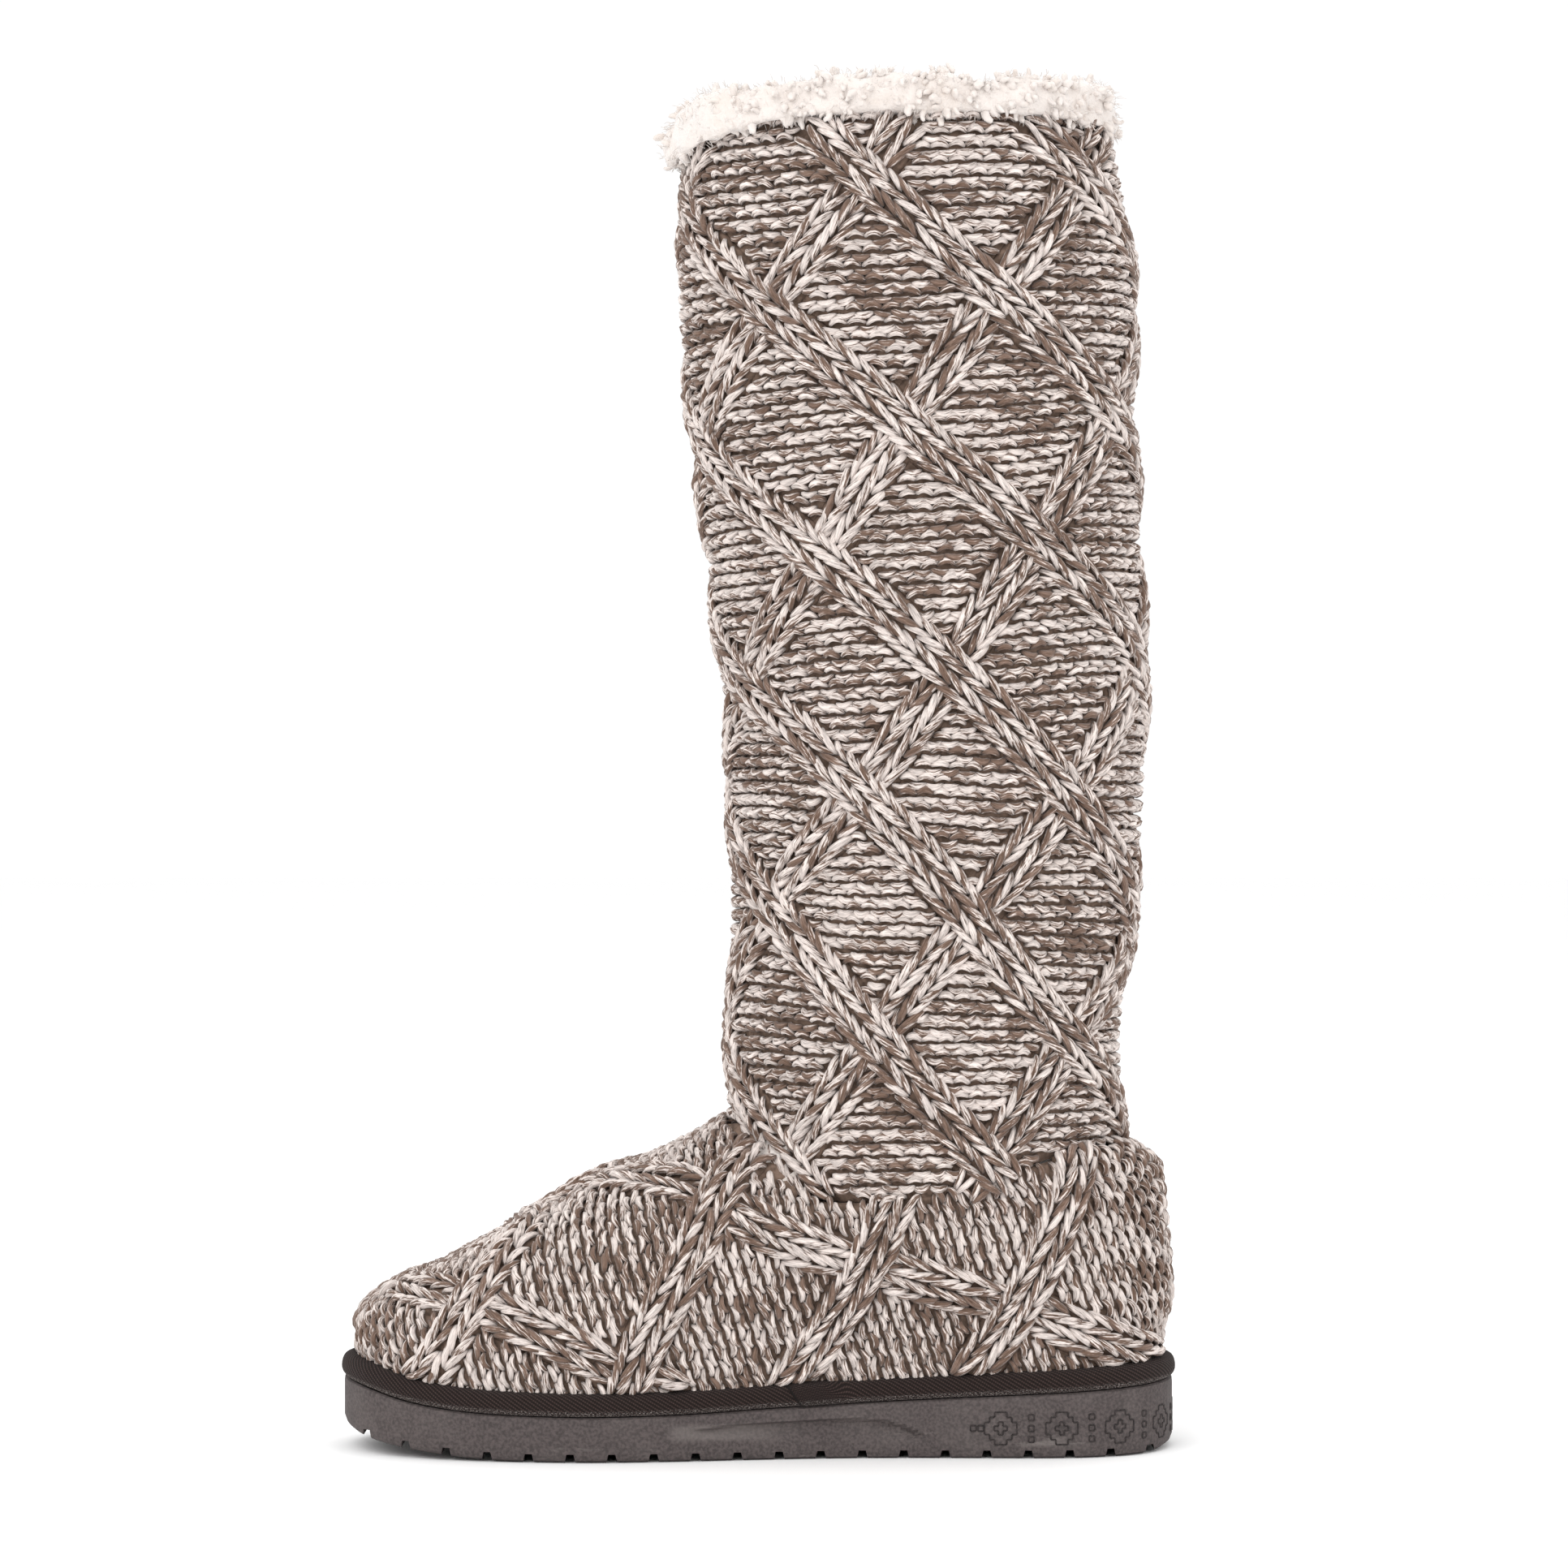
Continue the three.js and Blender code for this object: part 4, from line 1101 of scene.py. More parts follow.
class BOOT_OT_shaft(bpy.types.Operator):
    """Knits the shaft: purl ground and raised cables in marled yarn, over a backing wall"""

    bl_idname = "boot.shaft"
    bl_label = "Shaft"

    def execute(self, context):
        knit = context.scene.boot_knit
        rng = np.random.default_rng(DRAWS["shaft"])
        lumps = Lumps(LUMPS["shaft"])
        skin = shaft_skin()
        cables = shaft_cables()
        over_lines, all_lines = line_distances(cables)
        self.wall(cable_beds(skin, cables, over_lines, knit), knit)
        self.ground(skin, all_lines, knit, lumps, rng)
        self.rim(knit, lumps, rng)
        for kind, over in (("falling", True), ("rising", False)):
            chosen = [cable for cable in cables if cable[1] == over]
            yarn = cable_yarn(skin, chosen, over_lines, knit, lumps, rng)
            knitted(f"shaft_cables_{kind}", yarn, knit.leg / MM, knit, "shaft_knit")
        return {"FINISHED"}

    def wall(self, beds, knit):
        """The knit's own thickness, closed at the collar and the seam."""
        theta = even_theta(turns(COLUMNS["shaft wall"]))[None, :]
        low = self.seam_rises(theta[0])

        def shell(count, inset):
            return shaft_point(theta, mix(low, 1.0, np.linspace(0, 1, count)[:, None]), -inset)

        outer = shell(ROWS["shaft wall"], BACKING_INSET)
        rim = shaft_point(theta, 1.0015, -KNIT_WALL / 2)
        inner = shell(HIDDEN_ROWS, KNIT_WALL)
        backing("shaft", "shaft", rim_loop(np.concatenate([outer, rim]), inner), beds, knit)

    def rim(self, knit, lumps, rng):
        """The cast-off edge: slanting stitches that wrap over the collar."""
        count = RIM_STITCHES
        t = np.linspace(-1, 1, YARN_STEPS)[None, :]
        arc = (np.arange(count)[:, None] + 0.42 * t + rng.normal(0, 0.06, (count, 1))) / count * TURN
        theta = even_theta(arc)
        over = 1 - t**2
        places = shaft_point(theta, 1.0, -0.6 - 1.9 * t)
        places[..., 2] += 0.3 + 1.5 * over - 2.2 * np.clip(-t, 0, 1) ** 2
        inward = unit(shaft_point(theta, 1.0, -10.0) - shaft_point(theta, 1.0))
        normals = unit(-inward * np.clip(-t, 0.15, 1)[..., None] + np.array([0, 0, 1.0]))
        radii = knit.yarn / MM / 2 * 1.05 * tapered(t, 3, 0.03) * np.ones((count, 1))
        tone = random_tone(lumps, places[:, 4], rng)
        yarn = (places, normals, radii, tone, rng.uniform(0, 1, count))
        knitted("collar_edge", yarn, knit.wale / MM, knit, "shaft_knit")

    def seam_rises(self, theta):
        """The rises at which the wall ends, just under the seam."""
        rise = np.zeros_like(theta)
        for _ in range(4):
            point = shaft_point(theta, rise)
            rise = (seam_height(point[:, 0]) - 1 - ANKLE_HEIGHT) / SHAFT_RISE
        return rise[None, :]

    def ground(self, skin, all_lines, knit, lumps, rng):
        """Rows of purl bumps between the cables."""
        around = math.pi * (SHAFT_DEPTH + SHAFT_WIDTH) / 2
        wales = int(round(around / (knit.wale / MM)))
        row_pitch = knit.course / MM / 2 / SHAFT_RISE
        rows = int(1.12 / row_pitch)
        k, j = (a.ravel() for a in np.meshgrid(np.arange(rows), np.arange(wales), indexing="ij"))
        arc = (j + 0.5 * (k % 2) + 0.1 * np.sin(k * 0.9)) / wales * TURN
        rise = 0.9985 - k * row_pitch
        centres = shaft_point(even_theta(arc), rise)
        ahead = shaft_point(even_theta(arc + 0.02), rise)
        wave = lumps.at(centres * np.array([1.0, 1.0, 0.4]), 26.0)
        centres[:, 2] += wave * 1.1
        inside = centres[:, 2] > seam_height(centres[:, 0]) + 0.6
        inside &= all_lines.far(centres) > knit.cable_width / MM / 2 - 0.4
        centres, along, k = centres[inside], (ahead - centres)[inside], k[inside]
        along[:, 2] += wave[inside] * 1.1
        section = shaft_section(rise[inside])
        local = math.pi * (section["depth"] + section["width"]) / wales
        bows = np.where(k % 2 == 0, 1.55, -1.35)
        yarn = arc_yarn(skin, centres, along, bows, local * 1.1, knit.yarn / MM, lumps, rng)
        inner_side = centres[:, 1] < 0
        for label, pick in (("inner", inner_side), ("outer", ~inner_side)):
            half = tuple(part[pick] for part in yarn)
            knitted(f"shaft_ground_{label}", half, knit.wale / MM * 1.1, knit, "shaft_knit", pale=0.57)


def foot_rows(columns, shares):
    """Rows of points round the foot, at shares of the way from the binding to the seam."""
    phi = turns(columns)
    return foot_point(phi[None, :], shares[:, None] * seam_rise(phi)[None, :])


def foot_skin():
    return Skin(foot_rows(COLUMNS["foot skin"], np.linspace(-0.03, 1.0, ROWS["foot skin"])))


def inset_rows(skin, rows, inset):
    """Rows of points moved in from a skin, and the way out of it there."""
    out = skin.seat(rows)[1]
    return rows - out * inset, out


def foot_cable_lines():
    """The foot's cables. The rising ones pass over on the inner side, and the falling ones on the outer."""
    cables = []
    for name, rows in FOOT_CABLES.items():
        spots = np.array(rows)
        steps = {"step": np.arange(len(rows)), "along": spots[:, 0], "height": spots[:, 1]}
        at = np.linspace(0, len(rows) - 1, 90)
        x = column(steps, "step", "along", at) * SOLE_LENGTH - HALF_SOLE
        z = column(steps, "step", "height", at) * ANKLE_HEIGHT
        rise = np.clip((z - knit_foot(x)) / (ANKLE_HEIGHT - knit_foot(x)), 0, 1)
        phi = foot_angle(x, rise)
        for side in (1, -1):
            line = foot_point(side * phi, rise)
            inside = line[:, 2] < seam_height(line[:, 0]) + 0.5
            over = name.endswith("rising") == (side == 1)
            cables.append((line[inside], over))
    return cables


class BOOT_OT_foot(bpy.types.Operator):
    """Knits the foot: purl ground turned on its side and raised cables, over a backing wall"""

    bl_idname = "boot.foot"
    bl_label = "Foot"

    def execute(self, context):
        knit = context.scene.boot_knit
        rng = np.random.default_rng(DRAWS["foot"])
        lumps = Lumps(LUMPS["foot"])
        skin = foot_skin()
        cables = foot_cable_lines()
        over_lines, all_lines = line_distances(cables)
        self.wall(skin, cable_beds(skin, cables, over_lines, knit), knit)
        self.ground(skin, all_lines, knit, lumps, rng)
        yarn = cable_yarn(skin, cables, over_lines, knit, lumps, rng)
        knitted("foot_cables", yarn, knit.leg / MM, knit, "foot_knit")
        return {"FINISHED"}

    def wall(self, skin, beds, knit):
        """The knit's own thickness, closed at the binding and the seam."""

        def shell(count, inset):
            rows = foot_rows(COLUMNS["foot wall"], np.linspace(-0.02, 0.985, count))
            return inset_rows(skin, rows, inset)[0]

        outside = shell(ROWS["foot wall"], BACKING_INSET)
        inside = shell(FOOT_HIDDEN_ROWS, KNIT_WALL)
        backing("foot", "foot_upper", rim_loop(outside, inside), beds, knit)

    def ground(self, skin, all_lines, knit, lumps, rng):
        """Columns of purl bumps up the foot's sides, which lean to the toe and meet along its middle."""
        rises = np.sin(np.linspace(-0.03, 1, 110) * math.pi / 2)
        phis = np.linspace(0, math.pi, 260)
        levels = foot_point(phis[None, :], rises[:, None])
        reach = np.stack([lengths_along(level) for level in levels])
        middle = np.array([np.interp(0.0, level[:, 0], way) for level, way in zip(levels, reach)])
        reach = reach - middle[:, None]
        lean = math.tan(GROUND_LEAN) * rises * (ANKLE_HEIGHT - 20)
        pitch = knit.course / MM / 2
        wale = knit.wale / MM
        found = []
        for number, start in enumerate(np.arange(reach.min(), reach.max() + lean.max(), pitch)):
            at = start - lean
            inside = (at > reach[:, 0]) & (at < reach[:, -1])
            phi = np.array([np.interp(place, way, phis) for place, way in zip(at, reach)])
            height = foot_point(phi, rises)
            inside &= height[:, 2] < seam_height(height[:, 0]) - 0.6
            if inside.sum() < 3:
                continue
            for side in (1, -1):
                line = foot_point(side * phi, rises)[inside]
                length = lengths_along(line)
                first = wale * (0.3 + 0.5 * (number % 2)) + rng.uniform(-0.4, 0.4)
                spots = np.arange(first, length[-1], wale)
                point, ahead, behind = (
                    stacked(*(np.interp(spots + shift, length, part) for part in line.T))
                    for shift in (0, 0.8, -0.8)
                )
                found.append((point, unit(ahead - behind), np.full(len(spots), number)))
        centres, along, turn = (np.concatenate(part) for part in zip(*found))
        clear = all_lines.far(centres) > knit.cable_width / MM / 2 - 0.6
        centres, along, turn = centres[clear], along[clear], turn[clear]
        bows = np.where(turn % 2 == 0, 1.25, -1.25)
        lengths = np.full(len(centres), wale * 1.12)
        yarn = arc_yarn(skin, centres, along, bows, lengths, knit.yarn * 0.9 / MM, lumps, rng)
        knitted("foot_ground", yarn, wale * 1.12, knit, "foot_knit")


class BOOT_OT_lining(bpy.types.Operator):
    """Lines the shaft and the foot with curly pile, and covers the footbed with it"""

    bl_idname = "boot.lining"
    bl_label = "Lining and footbed"

    def execute(self, context):
        trim = context.scene.boot_trim
        lumps = Lumps(LUMPS["lining"])
        paint = fleece_paint("lining pile", trim)
        pile = trim.pile / MM
        theta = even_theta(turns(COLUMNS["shaft lining"]))[None, :]
        counts = (ROWS["shaft lining"], HIDDEN_ROWS)
        rises, few = (np.linspace(-0.06, 0.985, count)[:, None] for count in counts)
        inset = -KNIT_WALL - GAP - pile
        inner = shaft_point(theta, rises, inset)
        inward = unit(shaft_point(theta, rises, inset - 10) - inner)
        inner = pile_bumps(lumps, inner, inward, pile * 0.55)
        outer = shaft_point(theta, few, -KNIT_WALL - GAP / 2)
        on_boot(grid_piece("shaft_lining", rim_loop(outer, inner), True), paint, "fleece")
        self.foot_lining(paint, lumps, pile)
        self.footbed(trim, lumps)
        return {"FINISHED"}

    def foot_lining(self, paint, lumps, pile):
        """Pile from the footbed to the shaft's lining."""
        skin = foot_skin()

        def shell(count, inset):
            rows = foot_rows(COLUMNS["foot lining"], np.linspace(0.02, 0.97, count))
            return inset_rows(skin, rows, KNIT_WALL + inset)

        inside, out = shell(ROWS["foot lining"], GAP + pile)
        inside = pile_bumps(lumps, inside, out, pile * 0.5)
        outside = shell(HIDDEN_ROWS, GAP / 2)[0]
        on_boot(grid_piece("foot_lining", rim_loop(outside, inside), True), paint, "fleece")

    def footbed(self, trim, lumps):
        """A board covered with pile: rings out over its underside, round its edge, and in over its top."""
        outline = foot_point(turns(COLUMNS["footbed"]), 0.0)
        out = foot_skin().seat(outline)[1]
        out[:, 2] = 0
        edge = outline - unit(out) * (KNIT_WALL + FOOTBED_EDGE)
        rings = [(0.02, 0.0), (1.0, 0.0), (1.0, 0.55), (0.985, 0.85), (0.95, 0.98)]
        rings += [(size, 1.0) for size in np.linspace(0.9, 0.02, 24)]
        size, lift = np.array(rings).T[:, :, None]
        rows = edge * stacked(size, size, 1.0)
        rows[..., 2] = knit_foot(rows[..., 0]) + 0.2 + lift * FOOTBED_THICKNESS
        rows[4:, :, 2] += 0.8 * lumps.at(rows, 4.0)[4:]
        piece = grid_piece("footbed_pile", rows, True)
        on_boot(piece, fleece_paint("footbed pile", trim), "footbed_pile", "footbed")


class BOOT_OT_cuff(bpy.types.Operator):
    """Rolls the fleece cuff over the collar and raises its wisps"""

    bl_idname = "boot.cuff"
    bl_label = "Fleece cuff"

    def execute(self, context):
        trim = context.scene.boot_trim
        lumps = Lumps(LUMPS["cuff"])
        rng = np.random.default_rng(DRAWS["cuff"])
        theta = even_theta(turns(COLUMNS["cuff"]))
        skirt_out = -KNIT_WALL - GAP
        skirt_in = skirt_out - CUFF_SKIRT_THICKNESS
        outline = np.array(
            [
                (skirt_out, -CUFF_SKIRT),
                (skirt_out, GAP),
                (CUFF_FLARE * 0.2, GAP + 0.2),
                (CUFF_FLARE * 0.62, CUFF_RISE * 0.06),
                (CUFF_FLARE * 0.88, CUFF_RISE * 0.26),
                (CUFF_FLARE * 0.96, CUFF_RISE * 0.55),
                (CUFF_FLARE * 0.6, CUFF_RISE * 0.86),
                (-CUFF_FLARE * 0.2, CUFF_RISE * 1.04),
                (skirt_in * 0.75, CUFF_RISE * 0.94),
                (skirt_in * 1.05, CUFF_RISE * 0.5),
                (skirt_in * 1.04, 0.0),
                (skirt_in + 2.2, -CUFF_SKIRT),
            ]
        )
        profile = resampled(outline, CUFF_STEP)
        out_of, up_of = self.shaped(profile, theta)
        rows = self.place(theta[None, :], out_of, up_of)
        around, up = np.roll(rows, -1, axis=1) - np.roll(rows, 1, axis=1), np.gradient(rows, axis=0)
        out = unit(np.cross(around, up))
        free = ease(-0.5, 3.0, profile[:, 1])[:, None]
        swell = sum(height * lumps.at(rows + shift, size) for height, shift, size in CUFF_SWELLS)
        rows = rows + out * (swell * free)[..., None]
        piece = grid_piece("cuff_fleece", rows, True)
        on_boot(piece, fleece_paint("cuff fleece", trim), "fleece", "fleece_cuff")
        hairy = (free[:, 0] > 0.15) | (profile[:, 0] < skirt_out - 3)
        wild = (rows, out, hairy, lumps, rng)
        self.strands("cuff_tufts", wild, trim.tufts, trim.tuft / MM, TUFT_RADII, 5, 7, 1.6, trim)
        self.strands("cuff_hairs", wild, trim.hairs, trim.hair / MM, HAIR_RADII, 3, 5, 0.8, trim)
        return {"FINISHED"}

    def shaped(self, profile, theta):
        """The roll stands on the collar's sides, and hangs over it at the front and a little at the back."""
        front = np.clip(-np.sin(theta), 0, 1)[None, :] ** 2.5
        back = np.clip(np.sin(theta), 0, 1)[None, :] ** 2.5
        side = np.abs(np.cos(theta))[None, :] ** 1.5
        out, up = profile[:, :1], profile[:, 1:]
        outer = ease(-1.0, CUFF_FLARE, out)
        low = 1 - ease(0, CUFF_RISE * 0.9, up)
        free = ease(-1.0, 1.5, up)
        spread = 1 + (0.3 * front - 0.62 * side - 0.55 * back) * outer
        drop = free * outer * (13.0 * front + 4.0 * back) * (0.3 + 0.7 * low)
        lift = free * side * (2.2 * outer + 0.6) - 0.17 * np.clip(up, 0, None)
        return out * spread + 0.9 * free * outer * low * side, up - drop + lift

    def place(self, theta, out, up):
        """Points out from the collar's edge and up from it."""
        lean = float(shaft_section(1.0)["tilt"])
        point = shaft_point(theta, 1.0, out)
        return point + stacked(-up * math.sin(lean), 0.0, up * math.cos(lean))

    def strands(self, name, wild, count, length, radius, sides, steps, curls, trim):
        """Curly strands all over the roll."""
        rows, out, hairy, lumps, rng = wild
        r = rng.choice(np.nonzero(hairy)[0], count)
        c = rng.integers(0, rows.shape[1], count)
        roots, normals = rows[r, c], out[r, c]
        roots = roots + rng.normal(0, 0.5, roots.shape) - normals * radius[1]
        clump = np.stack([lumps.at(roots + shift, 7.0) for shift in (50, 90, 130)], axis=-1)
        aim = unit(normals + 1.1 * clump + rng.normal(0, 0.3, roots.shape))
        side = unit(np.cross(aim, rng.normal(0, 1, roots.shape)))
        second = np.cross(aim, side)
        length = length * rng.uniform(0.5, 1.05, count)[:, None, None]
        t = np.linspace(0, 1, steps)[None, :, None]
        curl = curls * rng.uniform(0.5, 1.2, count)[:, None, None]
        start = rng.uniform(0, TURN, count)[:, None, None]
        turn = start + t * rng.uniform(3.0, 6.0, count)[:, None, None]
        bend = np.cos(turn) * side[:, None] + np.sin(turn) * second[:, None]
        bend = bend - (np.cos(start) * side[:, None] + np.sin(start) * second[:, None])
        spines = roots[:, None] + aim[:, None] * t * length * (1 - 0.25 * t) + 0.6 * curl * t * bend
        spines[..., 2] -= t[..., 0] ** 2 * 0.6
        radii = rng.uniform(*radius, count)[:, None] * (1.0 - 0.7 * t[..., 0] ** 3)
        normal = np.broadcast_to(side[:, None], spines.shape)
        strand = stacks(tube_rings(spines, normal, radii, sides), spines[:, [0, -1]])
        piece = new_piece(name, *strand, tube_maps(count, steps - 2, sides, 6.0))
        on_boot(piece, fleece_paint(name.replace("_", " "), trim, 0.0), "fleece")


def sole_rows(levels):
    """Rows round the sole through levels, each an inset and a height over X."""
    rows = []
    for inset, height in levels:
        flat = sole_point(turns(COLUMNS["sole"]), inset)
        rows.append(stacked(*flat.T, height(flat[:, 0])))
    return np.stack(rows)


def patch(along, up, edges):
    """1 within a patch of the sole's side and 0 outside it."""
    front, back, low, high = edges
    return along.between(*front) * (1 - along.between(*back)) * up.between(*low) * (1 - up.between(*high))


def rungs(base, count, up):
    """Faces that close a ring by rungs between its facing points."""
    i = np.arange(1, count // 2 - 1)
    quads = np.stack([i, i + 1, count - i - 1, count - i], axis=-1)
    last = count // 2
    triangles = np.array([[0, 1, count - 1], [last - 1, last, last + 1]])
    if not up:
        quads, triangles = quads[:, ::-1], triangles[:, ::-1]
    return quads + base, triangles + base


class BOOT_OT_sole(bpy.types.Operator):
    """Moulds the foam sole with its cross grooves, arch hollow and stepped band round the heel"""

    bl_idname = "boot.sole"
    bl_label = "Sole"

    def execute(self, context):
        trim = context.scene.boot_trim
        body = self.body()
        cutter = self.grooves()
        cut = body.modifiers.new("grooves", "BOOLEAN")
        cut.operation = "DIFFERENCE"
        cut.solver = "EXACT"
        cut.object = cutter
        graph = bpy.context.evaluated_depsgraph_get()
        mesh = bpy.data.meshes.new_from_object(body.evaluated_get(graph))
        body.modifiers.clear()
        body.data = mesh
        bpy.data.objects.remove(cutter)
        mesh.shade_smooth()
        mesh.set_sharp_from_angle(angle=math.radians(32))
        on_boot(body, self.paint(trim), "sole_foam", "outsole")
        self.band(trim)
        return {"FINISHED"}

    def body(self):
        """The whole sole before its grooves are cut, with the hollow along the arch."""

        def side(share):
            return lambda x: mix(spring_at(x) + EDGE_ROUND * 1.1, deck_at(x) - 0.9, share)

        levels = [(EDGE_ROUND, spring_at), (EDGE_ROUND * 0.3, lambda x: spring_at(x) + EDGE_ROUND * 0.35)]
        levels += [(0.0, side(share)) for share in (0.0, *np.linspace(0.08, 0.94, 15))]
        levels += [(0.15, lambda x: deck_at(x) - 0.55), (EDGE_ROUND * 0.4, deck_at)]
        rows = sole_rows(levels)
        count, columns = rows.shape[:2]
        inward = sole_rows([(1.0, spring_at)])[0] - sole_rows([(0.0, spring_at)])[0]
        inward[:, 2] = 0
        x, z = rows[..., 0], rows[..., 2]
        along = share_along(x)
        low = column(ARCH, "along", "low", along) * BALL_THICKNESS
        high = column(ARCH, "along", "high", along) * BALL_THICKNESS
        span = ease(0.393, 0.45, along) * (1 - ease(0.695, 0.712, along))
        hollow = ease(0, 3.2, z - low) * ease(0, 0.8, high - z) * span
        rows = rows + inward * (HOLLOW_DEPTH * hollow)[..., None]
        quads = grid_quads(count, columns, False)
        under = rungs(0, columns, False)
        over = rungs((count - 1) * columns, columns, True)
        quads = np.concatenate([quads, under[0], over[0]])
        triangles = np.concatenate([under[1], over[1]])
        return new_piece("sole", rows.reshape(-1, 3), quads, triangles)

    def grooves(self):
        """Wedge-shaped bars across the sole, to cut its grooves."""
        parts = []
        x = HALF_SOLE - END_BAR
        while x > -HALF_SOLE + END_BAR / 2:
            top = float(spring_at(x)) + GROOVE_DEPTH + 0.7
            profile = [(-GROOVE_WIDTH * 0.72, -3.0), (GROOVE_WIDTH * 0.72, -3.0)]
            profile += [(GROOVE_WIDTH / 3, top), (-GROOVE_WIDTH / 3, top)]
            ring = [[(x + a, y, z) for a, z in profile] for y in (-BALL_WIDTH, BALL_WIDTH)]
            points = np.array(ring).reshape(-1, 3)
            around = grid_quads(2, 4, False)
            ends = np.array([[0, 1, 2, 3], [7, 6, 5, 4]])
            parts.append((points, np.concatenate([around[:, ::-1], ends]), NO_TRIANGLES))
            x -= GROOVE_PITCH
        return new_piece("groove_bars", *joined(parts))

    def band(self, trim):
        """A moulded band round the heel: stepped figures, each with a cross in it, and small squares, whose
        raised lines are painted dark as shade.
        """
        fine = np.linspace(0, TURN, 1441)
        edge = sole_point(fine, 0.0)
        length = lengths_along(edge)
        first, last = length[edge[:, 0] > BAND_START][[0, -1]]
        figures = int(round((last - first) / FIGURE_PITCH))
        pitch = (last - first) / figures
        corner = [(0, 4), (1.5, 4), (1.5, 2.75), (2.75, 2.75), (2.75, 1.5), (4, 1.5), (4, 0)]
        cross = [(0, 1.6), (0.55, 1.6), (0.55, 0.55), (1.6, 0.55), (1.6, 0)]
        square = [(-0.7, -0.7), (0.7, -0.7), (0.7, 0.7), (-0.7, 0.7), (-0.7, -0.7)]
        starts, ends = [], []

        def mirrored(quarter):
            """A closed outline from its quarter."""
            half = quarter + [(a, -b) for a, b in quarter[-2::-1]]
            return half + [(-a, b) for a, b in half[-2::-1]]

        def draw(shape, s, z):
            spots = np.array(shape) * FIGURE_STEP + (s, z)
            starts.append(spots[:-1])
            ends.append(spots[1:])

        for number in range(figures + 1):
            s = first + number * pitch
            draw(mirrored(corner), s, 0.0)
            draw(mirrored(cross), s, 0.0)
            if number < figures:
                for lift in (-2.7, 0.0, 2.7):
                    draw(square, s + pitch / 2, lift * FIGURE_STEP)
        for lead in (-6.4, -8.8):
            draw(square, first + lead, 0.0)
            draw(square, last - lead, 0.0)
        t = np.array([0.0, 0.06, 0.94, 1.0])[:, None, None]
        s, z = mix(np.concatenate(starts), np.concatenate(ends), t).T
        phi = np.interp(s, length, fine)
        flat = sole_point(phi, 0.0)
        spines = stacked(flat[..., 0], flat[..., 1], z + BAND_HEIGHT)
        out = flat - sole_point(phi, 1.0)
        out = stacked(out[..., 0], out[..., 1], 0.0)
        rings = tube_rings(spines, out, np.full(phi.shape, BAND_LINE), 4, 0.8)
        lines = stacks(rings, spines[:, [0, -1]])
        piece = new_piece("heel_band", *lines, tube_maps(len(spines), 2, 4, 2.0))
        paint = Paint("heel band shaded foam", roughness=0.8, specular_ior_level=0.3)
        grain = paint.noise(paint.place(), 900.0, 2.0)
        # The raised lines are painted much darker than the foam: painted shade, as if they were grooves in
        # shadow
        colour = paint.blend(grain.between(0.35, 0.65), *shades(trim.foam, 0.22, 0.42))
        on_boot(piece, paint.finish(colour, height=grain, depth=0.0002), "sole_foam")

    def paint(self, trim):
        """Matt foam with a fine skin grain, paler scuffs low on its side, and dust."""
        paint = Paint("sole foam", roughness=0.72, specular_ior_level=0.35)
        place = paint.place()
        x, y, z = paint.parts(place)
        grain = paint.noise(place, 1050.0, 2.0, 0.5)
        pits = paint.noise(place, 420.0, 2.0)
        cloud = paint.noise(place, 38.0, 4.0, 0.6)
        rub = paint.noise(paint.vector(x * 30.0, y * 30.0, z * 160.0), 2.2, 5.0, 0.7)
        low = 1 - z.between(0.004, 0.016)
        scuff = tuple(trim.scuff)
        base = paint.blend(grain.between(0.3, 0.7), *shades(trim.foam, 0.5, 1))
        base = paint.blend(rub.between(0.6, 0.74) * (0.25 + 0.5 * low) * 0.55, base, scuff)
        base = paint.blend(cloud.between(0.45, 0.8) * 0.22, base, scuff)
        inner = 1 - y.between(-0.005, 0.005)
        # Paler over the arch hollow, and rubbed paler at the heel
        arch = patch(x, z, ARCH_PALE_PATCH)
        heel = patch(x, z, HEEL_RUB) * rub.between(0.4, 0.58)
        base = paint.blend((arch * 0.4 + heel * 0.6) * inner, base, scuff)
        rough = 0.62 + 0.2 * grain + 0.1 * cloud
        return paint.finish(base, rough, grain * 0.7 + pits * 0.5, depth=0.00035, strength=0.8)


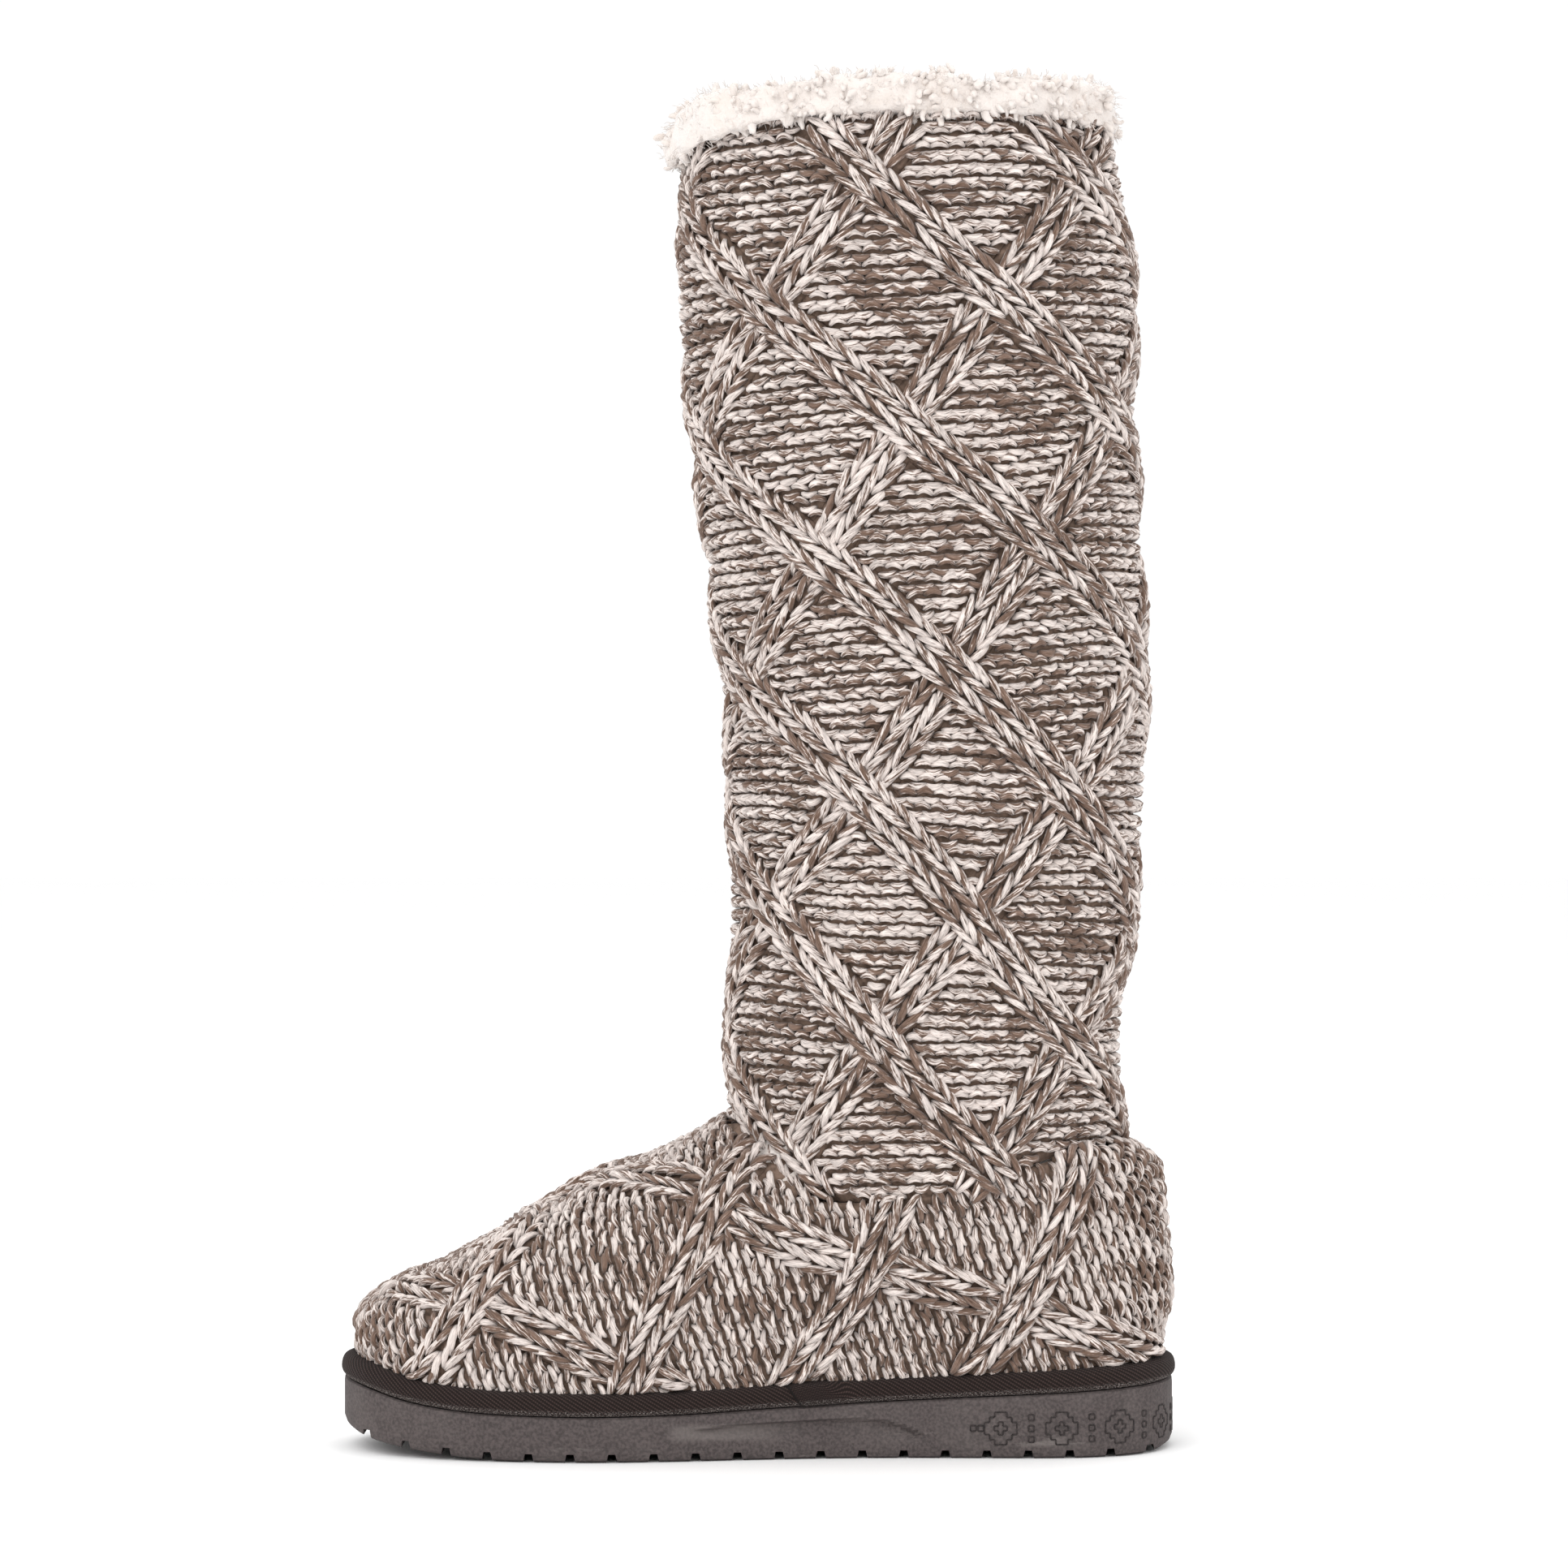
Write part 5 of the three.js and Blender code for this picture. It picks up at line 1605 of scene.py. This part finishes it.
class BOOT_OT_binding(bpy.types.Operator):
    """Rolls the twill tape round the platform, with its join on the inner side, and paints the board in it"""

    bl_idname = "boot.binding"
    bl_label = "Binding and platform"

    def execute(self, context):
        trim = context.scene.boot_trim
        lumps = Lumps(LUMPS["binding"])
        phi = turns(COLUMNS["binding"])
        outline = np.array(
            [
                (BINDING_DEPTH, 0.0),
                (BINDING_HEIGHT * 0.3, -0.02),
                (BINDING_HEIGHT * 0.02, 0.04),
                (-BINDING_BULGE * 0.85, 0.2),
                (-BINDING_BULGE * 1.15, 0.42),
                (-BINDING_BULGE * 0.9, 0.66),
                (-BINDING_BULGE * 0.1, 0.86),
                (BINDING_HEIGHT * 0.18, 0.98),
                (BINDING_HEIGHT * 0.42, 1.03),
                (BINDING_DEPTH, 1.0),
            ]
        )
        profile = resampled(smooth_line(outline * (1, BINDING_HEIGHT)), BINDING_STEP)
        foot = deck_at(sole_outline(phi)[:, 0]) + GAP
        out = sole_point(phi, 0.0) - sole_point(phi, 1.0)
        out = stacked(*out.T, 0.0)
        flat = sole_outline(phi)[None] - out[None, :, :2] * profile[:, :1, None]
        rows = stacked(flat[..., 0], flat[..., 1], foot + profile[:, 1:])
        uneven = 0.22 * lumps.at(rows, 11.0) + 0.12 * lumps.at(rows + 60, 4.0)
        inner = rows[..., 1] < 0
        # The tape's end is folded under and sewn down over its start, on a slant
        slant = rows[..., 0] - FOLD + (rows[..., 2] - foot[None, :]) * FOLD_SLANT
        fold = np.where(inner, ease(-0.5, 0.4, slant) * (1 - ease(FOLD_LEVEL, 22.0, slant)), 0)
        facing = ease(BINDING_DEPTH * 0.5, 0, profile[:, :1])
        rows = rows + out * ((uneven + FOLD_LIFT * fold) * facing)[..., None]
        rows[..., 2] += 0.35 * fold * (profile[:, 1:2] > BINDING_HEIGHT * 0.8)
        on_boot(grid_piece("binding_tape", rows, True), self.paint(trim), "binding_tape", "binding")
        self.platform()
        return {"FINISHED"}

    def paint(self, trim):
        """Twill: fine slanting ribs crossed by the threads' own steps, with dust low down and a painted
        shadow along the edge of the folded end.
        """
        paint = Paint("twill tape", roughness=0.9, sheen_weight=0.03, specular_ior_level=0.15)
        on, up = paint.map("layout")
        x, y, z = paint.parts(paint.place())
        pitch = trim.twill / MM
        slant = x / MM - FOLD + (up - BINDING_DEPTH) * FOLD_SLANT
        inner = 1 - y.between(-0.002, 0.002)
        fold = slant.between(-0.2, 0.6) * (1 - slant.between(FOLD_LEVEL, 20.0)) * inner
        # A thin dark line along the folded end's slanting edge: painted shadow of the fold's step
        edge = (1 - slant.size().between(0.2, 0.8)) * inner
        rise = (up - BINDING_DEPTH) * (0.84 + fold * 1.3)
        ribs = ((on * 0.55 + rise) * (TURN / pitch)).sine() * 0.5 + 0.5
        threads = ((on * 0.9 - up * 0.45) * (TURN / (pitch * 0.7))).sine() * 0.5 + 0.5
        fuzz = paint.noise(paint.vector(on, up), 1.6, 4.0, 0.6)
        weave = ribs * (0.5 + 0.5 * threads)
        deep, dark, pale = shades(trim.tape, 0.3, 0.4, 1.9)
        base = paint.blend((weave * 0.75 + fuzz * 0.4).between(0.35, 1.0), dark, pale)
        dust = paint.noise(paint.vector(on * 1.1, up * 2.0), 1.5, 3.0, 0.7).between(0.52, 0.62)
        low = 1 - up.between(9.0, 10.3)
        base = paint.blend(dust * low * 0.8, base, tuple(trim.dust))
        # The fold's edge takes the tape's deepest shade as painted shadow
        base = paint.blend(edge * 0.8, base, deep)
        return paint.finish(base, height=weave + fuzz * 0.3, depth=0.0005, strength=0.9)

    def platform(self):
        """Gives the board inside the tape its material."""
        paint = Paint("platform board", roughness=0.9)
        grain = paint.noise(paint.place(), 300.0, 4.0)
        colour = paint.blend(grain, BOARD_DARK, BOARD_PALE)
        material = paint.finish(colour, height=grain, depth=0.0003)
        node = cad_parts["platform"]
        for slot in node.material_slots:
            slot.material = material


class BOOT_OT_stage(bpy.types.Operator):
    """Sets the floor, the light and the camera"""

    bl_idname = "boot.stage"
    bl_label = "Stage"

    def execute(self, context):
        stage = context.scene.boot_stage
        scene = context.scene
        self.floor(stage)
        for name, power in (("key", stage.key), ("fill", stage.fill), ("top", stage.fill)):
            self.light(name, power)
        world = bpy.data.worlds.new("soft studio")
        scene.world = world
        world.use_nodes = True
        background = world.node_tree.nodes["Background"]
        background.inputs["Color"].default_value = (1, 1, 1, 1)
        background.inputs["Strength"].default_value = stage.sky
        camera = bpy.data.cameras.new("camera")
        camera.sensor_width = 36.0
        camera.lens = camera.sensor_width * stage.distance / stage.frame_width
        camera.clip_end = 50.0
        holder = bpy.data.objects.new("camera", camera)
        holder.location = (CAMERA_X, -stage.distance, CAMERA_HEIGHT)
        holder.rotation_euler = (math.radians(90), 0, 0)
        scene.collection.objects.link(holder)
        scene.camera = holder
        scene.view_settings.view_transform = "Standard"
        return {"FINISHED"}

    def floor(self, stage):
        """A wide floor just under the boot."""
        signs = np.array([(-1, -1), (1, -1), (1, 1), (-1, 1)])
        corners = stacked(*(signs * FLOOR_REACH).T, CAD_BOX[0].z / MM)
        piece = new_piece("floor", corners, np.array([[0, 1, 2, 3]]))
        paint = Paint("pale floor", roughness=0.9, specular_ior_level=0.1)
        colour = paint.blend(paint.noise(paint.place(), 2.0, 2.0), *shades(stage.floor, 1, 0.99))
        piece.data.materials.append(paint.finish(colour))

    def light(self, name, power):
        """A square light that faces the boot."""
        lamp = bpy.data.lights.new(name, "AREA")
        lamp.size = LIGHT_SIZE
        lamp.energy = power
        holder = bpy.data.objects.new(name, lamp)
        holder.location = LIGHT_PLACES[name]
        aim = Vector(LIGHT_AIM) - Vector(LIGHT_PLACES[name])
        holder.rotation_euler = aim.to_track_quat("-Z", "Y").to_euler()
        bpy.context.scene.collection.objects.link(holder)


OPERATORS = (
    BOOT_OT_stage,
    BOOT_OT_sole,
    BOOT_OT_binding,
    BOOT_OT_shaft,
    BOOT_OT_foot,
    BOOT_OT_lining,
    BOOT_OT_cuff,
)


class BOOT_PT_panel(bpy.types.Panel):
    """Lists the boot's sizes, colours and operators"""

    bl_label = "Knitted Boot"
    bl_idname = "BOOT_PT_panel"
    bl_space_type = "VIEW_3D"
    bl_region_type = "UI"
    bl_category = "Boot"

    def draw(self, context):
        for group in (context.scene.boot_knit, context.scene.boot_trim, context.scene.boot_stage):
            box = self.layout.box()
            for name in group.__annotations__:
                box.prop(group, name)
        for operator in OPERATORS:
            self.layout.operator(operator.bl_idname)


GROUPS = {"boot_knit": BootKnit, "boot_trim": BootTrim, "boot_stage": BootStage}


def register():
    for part in (*GROUPS.values(), *OPERATORS, BOOT_PT_panel):
        bpy.utils.register_class(part)
    for name, group in GROUPS.items():
        setattr(bpy.types.Scene, name, bpy.props.PointerProperty(type=group))


def unregister():
    for name in GROUPS:
        delattr(bpy.types.Scene, name)
    for part in (BOOT_PT_panel, *reversed(OPERATORS), *GROUPS.values()):
        bpy.utils.unregister_class(part)


def main():
    register()
    for operator in OPERATORS:
        group, name = operator.bl_idname.split(".")
        getattr(getattr(bpy.ops, group), name)()


if __name__ == "__main__":
    main()
